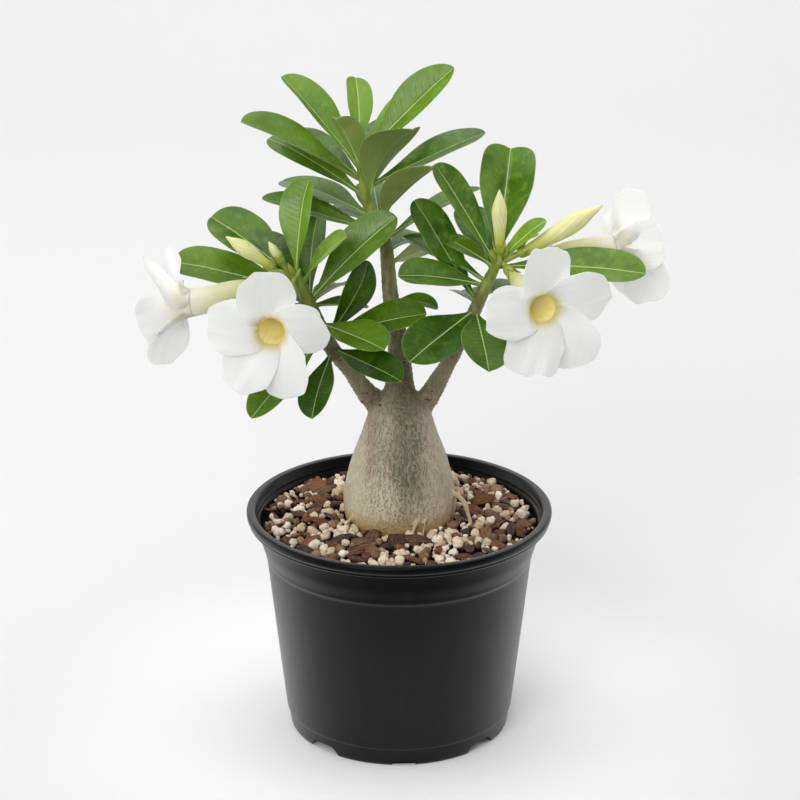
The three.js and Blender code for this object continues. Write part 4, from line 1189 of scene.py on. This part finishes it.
class Scatter:
    """Places on the mix that keep a share of their size apart."""

    def __init__(self, random):
        self.random = random
        self.taken = np.zeros((0, 3))

    def places(self, count, low, high, apart):
        found = []
        for _ in range(count * 30):
            if len(found) == count:
                break
            reach = self.random.uniform(low, high)
            radius = sqrt(self.random.uniform(INNERMOST**2, (WALL - reach * 0.9) ** 2))
            angle = self.random.uniform(0, TAU)
            x, y = radius * cos(angle), radius * sin(angle)
            gaps = np.hypot(self.taken[:, 0] - x, self.taken[:, 1] - y)
            near = (gaps < apart * (self.taken[:, 2] + reach)).any()
            if not near and hypot(x, y - TRUNK_FOOT[1]) >= TRUNK_CLEAR + reach * 0.5:
                self.taken = np.vstack([self.taken, [x, y, reach]])
                found.append((x, y, reach))
        return found


def bumps(ball, random, count, size, pitch):
    return sum(
        size * np.cos(ball @ (random.normal(size=3) * pitch) + random.uniform(0, ANY_PHASE))
        for _ in range(count))


def cut_flat(points, random, count, near, far, share):
    """Presses the parts that stand out past a few planes back to them, by a share of the way."""
    for _ in range(count):
        normal = unit(random.normal(size=3))
        beyond = np.maximum(0, points @ normal - random.uniform(near, far))
        points = points - normal * (beyond * share)[:, None]
    return points


def lobed(ball, random):
    """A popped grain: a few lobes grown into one another, with some broken sides."""
    reach = np.full(len(ball), 0.58)
    for _ in range(random.integers(2, 5)):
        middle = unit(random.normal(size=3)) * random.uniform(0.3, 0.52)
        radius = random.uniform(0.42, 0.58)
        ahead = ball @ middle
        inside = radius**2 - middle @ middle + ahead**2
        reach = np.maximum(reach, np.where(inside > 0, ahead + np.sqrt(np.maximum(inside, 0)), 0))
    points = ball * (reach + bumps(ball, random, 6, 0.042, 7))[:, None]
    return cut_flat(points, random, 4, 0.6, 0.85, 0.9)


def broken(ball, random):
    """A stone with flat, broken sides."""
    points = cut_flat(ball, random, 9, 0.55, 0.92, 0.93)
    return points * (1 + bumps(ball, random, 4, 0.02, 5))[:, None]


def add_grain(piece, place, random, form, divisions, sunk=0.0):
    x, y, reach = place
    ball, faces = BALLS[divisions]
    shape = form(ball, random) * [1, random.uniform(0.75, 1), random.uniform(0.75, 1)] * reach
    shape = shape @ np.array(Quaternion(unit(random.normal(size=4))).to_matrix()).T
    z = mix_surface(hypot(x, y)) + reach * random.uniform(-0.1, 0.5) - sunk
    piece.add(shape + [x, y, z], faces, tint=(random.uniform(0, 1), random.uniform(0, 1), 0))


def add_chip(
        piece, place, random, slim=(0.42, 0.75), thick=(1.3, 2.8), lean=0.34, lift=(0.0, 1.8)):
    """A flat, splintered piece of bark with a broken outline."""
    x, y, reach = place
    ball, faces = BALLS[3]
    shape = np.sign(ball) * np.abs(ball) ** [0.75, 0.75, 0.5]
    shape = shape * [1, random.uniform(*slim), 1]
    for _ in range(7):
        angle = random.uniform(0, TAU)
        slope = random.uniform(-0.35, 0.35)
        normal = unit([cos(angle), sin(angle) * 1.5, slope])
        ahead = shape @ normal
        beyond = np.maximum(0, ahead - np.max(ahead) * random.uniform(0.62, 0.95))
        shape = shape - normal * (beyond * 0.96)[:, None]
    depth = random.uniform(*thick) / 2
    grain = 0.16 * np.cos(
        shape[:, 1] * random.uniform(14, 22) + 2 * shape[:, 0] + random.uniform(0, 6))
    grain += 0.1 * np.cos(shape[:, 1] * 41 + 3 * shape[:, 0])
    shape = shape * [reach, reach, depth]
    shape[:, 2] += grain * np.sign(shape[:, 2]) * 0.7 + 0.07 * reach * np.cos(
        shape[:, 0] / reach * 2.2 + random.uniform(-1, 1))
    # A lean towards a side, then a turn about the upright axis.
    turn = np.array(Euler((*random.uniform(-lean, lean, 2), random.uniform(0, TAU))).to_matrix())
    z = mix_surface(hypot(x, y)) + random.uniform(*lift)
    red = random.choice([0.0, 0.15, 0.5, 0.85, 1.0]) * random.uniform(0.8, 1)
    tint = (red, max(0, random.uniform(-0.8, 1)), random.uniform(0, 1))
    piece.add(shape @ turn.T + [x, y, z], faces, 0, shape, tint)


def mix_pieces():
    random = np.random.default_rng(31)
    pale, tan, dark = (grain_material(*row) for row in (
        ("pale_pumice", (212, 184, 152), (252, 242, 224), (255, 250, 242), 800.0),
        ("tan_grit", (104, 78, 60), (172, 138, 110), (198, 172, 146), 1100.0),
        ("dark_crumb", (16, 11, 8), (60, 41, 30), (88, 63, 46), 700.0)))
    bed, chips, white, warm, crumb = (Piece(m) for m in (dark, chip_material(), pale, tan, dark))
    wall = [(55, 2.8), (59.9, 10.6), (69.8, 99.6), (72.8, 105), (73.5, 111), (73.8, 115.5)]
    top = [(r, mix_surface(r) - 3.6) for r in np.linspace(73.7, 4, 60)]
    rings = []
    for r, z in wall + top:
        loop = level_ring(r, z, MIX_SIDES)
        if z > wall[-1][1] + 0.1:
            loop[:, 2] += 1.2 * noise_at(loop, (0.3, 0.3, 0.2))
        rings.append(loop)
    bed.wrap(rings)
    spread = Scatter(random)
    for place in spread.places(52, 5.0, 9.0, 0.48):
        add_chip(chips, place, random)
    large = spread.places(150, 3.0, 4.8, 0.56)
    middle = spread.places(300, 1.9, 3.0, 0.6)
    for k, place in enumerate(large + middle):
        kind = random.uniform(0, 1)
        if kind < (0.76 if k < len(large) else 0.6):
            add_grain(white, place, random, lobed, 3 if k < len(large) else 2)
        elif kind < 0.86:
            add_grain(warm, place, random, broken, 2)
        else:
            x, y, reach = place
            add_chip(chips, (x, y, reach * 1.2), random, thick=(1.2, 2.4), lean=0.6)
    for place in Scatter(random).places(760, 0.8, 1.8, 0.5):
        kind = random.uniform(0, 1)
        target = white if kind < 0.14 else warm if kind < 0.28 else crumb
        add_grain(target, place, random, broken, 1, sunk=1.0)
    # Slivers that stand up against the wall and lie across the grains.
    for place in ((-66, -3, 5.5), (-58, 24, 4.5), (-69.5, -12, 4), (30, -56, 4.5), (58, 18, 5),
                  (49, 36, 5)):
        add_chip(chips, place, random, (0.16, 0.24), (0.9, 1.4), lean=0.8, lift=(1.2, 2.2))
    for piece, name in (
            (bed, "potting_mix_bed"), (chips, "bark_chips"), (white, "pumice_grains"),
            (warm, "grit_grains"), (crumb, "humus_crumbs")):
        piece.make(name, "potting_mix", "mix")


# Stage

FLOOR_HALF = 3.5
WALL_FROM, WALL_RADIUS = 1.3, 0.9
# Name, place, size, watts and the point that the light is aimed at.
LIGHTS = [
    ("overhead_left", (-0.2, -0.6, 2.2), (2.6, 2.2), 23.5, (0, 0, 0.2)),
    ("front_left", (-0.7, -1.9, 1.15), (1.4, 1.0), 25, (0, 0, 0.25)),
    ("side_right", (2.4, 0.1, 0.7), (1.6, 1.6), 12.8, (0, 0, 0.15)),
    ("side_left", (-2.4, 0.1, 0.7), (1.6, 1.6), 16, (0, 0, 0.15)),
    ("backdrop", (0, 0.9, 2.2), (3.0, 0.8), 28.5, (0, 2.2, 0.6)),
]


def soft_light(name, place, size, watts, aim):
    data = bpy.data.lights.new(name, "AREA")
    data.shape, data.energy = "RECTANGLE", watts
    data.size, data.size_y = size
    light = show(name, data)
    light.location = place
    light.rotation_euler = (Vector(aim) - Vector(place)).to_track_quat("-Z", "Y").to_euler()


def make_stage():
    # A flat floor that curves up into a wall at the back: (y, z) in metres.
    rows = [(y, 0.0) for y in np.linspace(-2.2, WALL_FROM, 12)]
    rows += [
        (WALL_FROM + WALL_RADIUS * sin(a), WALL_RADIUS - WALL_RADIUS * cos(a))
        for a in np.linspace(0.1, pi / 2, 14)]
    rows += [(WALL_FROM + WALL_RADIUS, z) for z in (1.3, 2.0, 3.2)]
    points = [(x, y, z) for y, z in rows for x in (-FLOOR_HALF, FLOOR_HALF)]
    faces = [(2 * i, 2 * i + 1, 2 * i + 3, 2 * i + 2) for i in range(len(rows) - 1)]
    mesh = mesh_of("floor", points, faces)
    mesh.shade_smooth()
    n = Nodes("pale_floor")
    # Painted light makes the floor paler around the pot, lightening its shadow there, and painted
    # shade makes it nearly black in front, standing in for the dark side of the room.
    spot = n.spot()
    near = n.node("VectorMath", {0: spot}, output=1, operation="LENGTH").ramp(0.24, 0.09)
    base = n.mix(near, (0.76, 0.76, 0.76, 1), (0.93, 0.93, 0.93, 1))
    base = n.mix(n.parts(spot)[1].ramp(-0.11, -0.42), base, (0.05, 0.05, 0.05, 1))
    mesh.materials.append(n.finished(Base_Color=base, Roughness=0.9, Specular_IOR_Level=0.1))
    show("floor", mesh)
    for row in LIGHTS:
        soft_light(*row)
    # The room is dim in front and bright at the back.
    n = Nodes("studio", bpy.data.worlds)
    backwards = n.parts(n.node("TexCoord", output="Generated"))[1]
    light = backwards.ramp(-0.8, 0.25, 0.06, 0.5)
    bpy.context.scene.world = n.finished("Background", Color=(1, 1, 1, 1), Strength=light)
    view = bpy.context.scene.view_settings
    view.view_transform, view.look = "Standard", "None"


LOOK_DOWN = 20.525  # degrees


def make_camera():
    data = bpy.data.cameras.new("camera")
    data.sensor_width, data.lens = 36.0, 116.505
    data.clip_start, data.clip_end = 0.05, 20
    camera = show("camera", data)
    camera.location = (0.00046, -1.28994, 0.6695)
    camera.rotation_euler = (radians(90 - LOOK_DOWN), 0, 0)
    bpy.context.scene.camera = camera


make_camera()
make_stage()
pot_piece(pot_material())
trunk_piece(bark_material())
mix_pieces()
leaf, stem, petal, rolled = leaf_material(), stem_material(), petal_material(), bud_material()
for order, name in enumerate(BRANCHES):
    shoot_piece(name, leaf, stem, np.random.default_rng(100 + order))
for order, (name, flower) in enumerate(BLOOMS.items()):
    bloom_piece(name, flower, petal, np.random.default_rng(200 + order))
for name, bud in BUDS.items():
    bud_piece(name, bud, rolled)
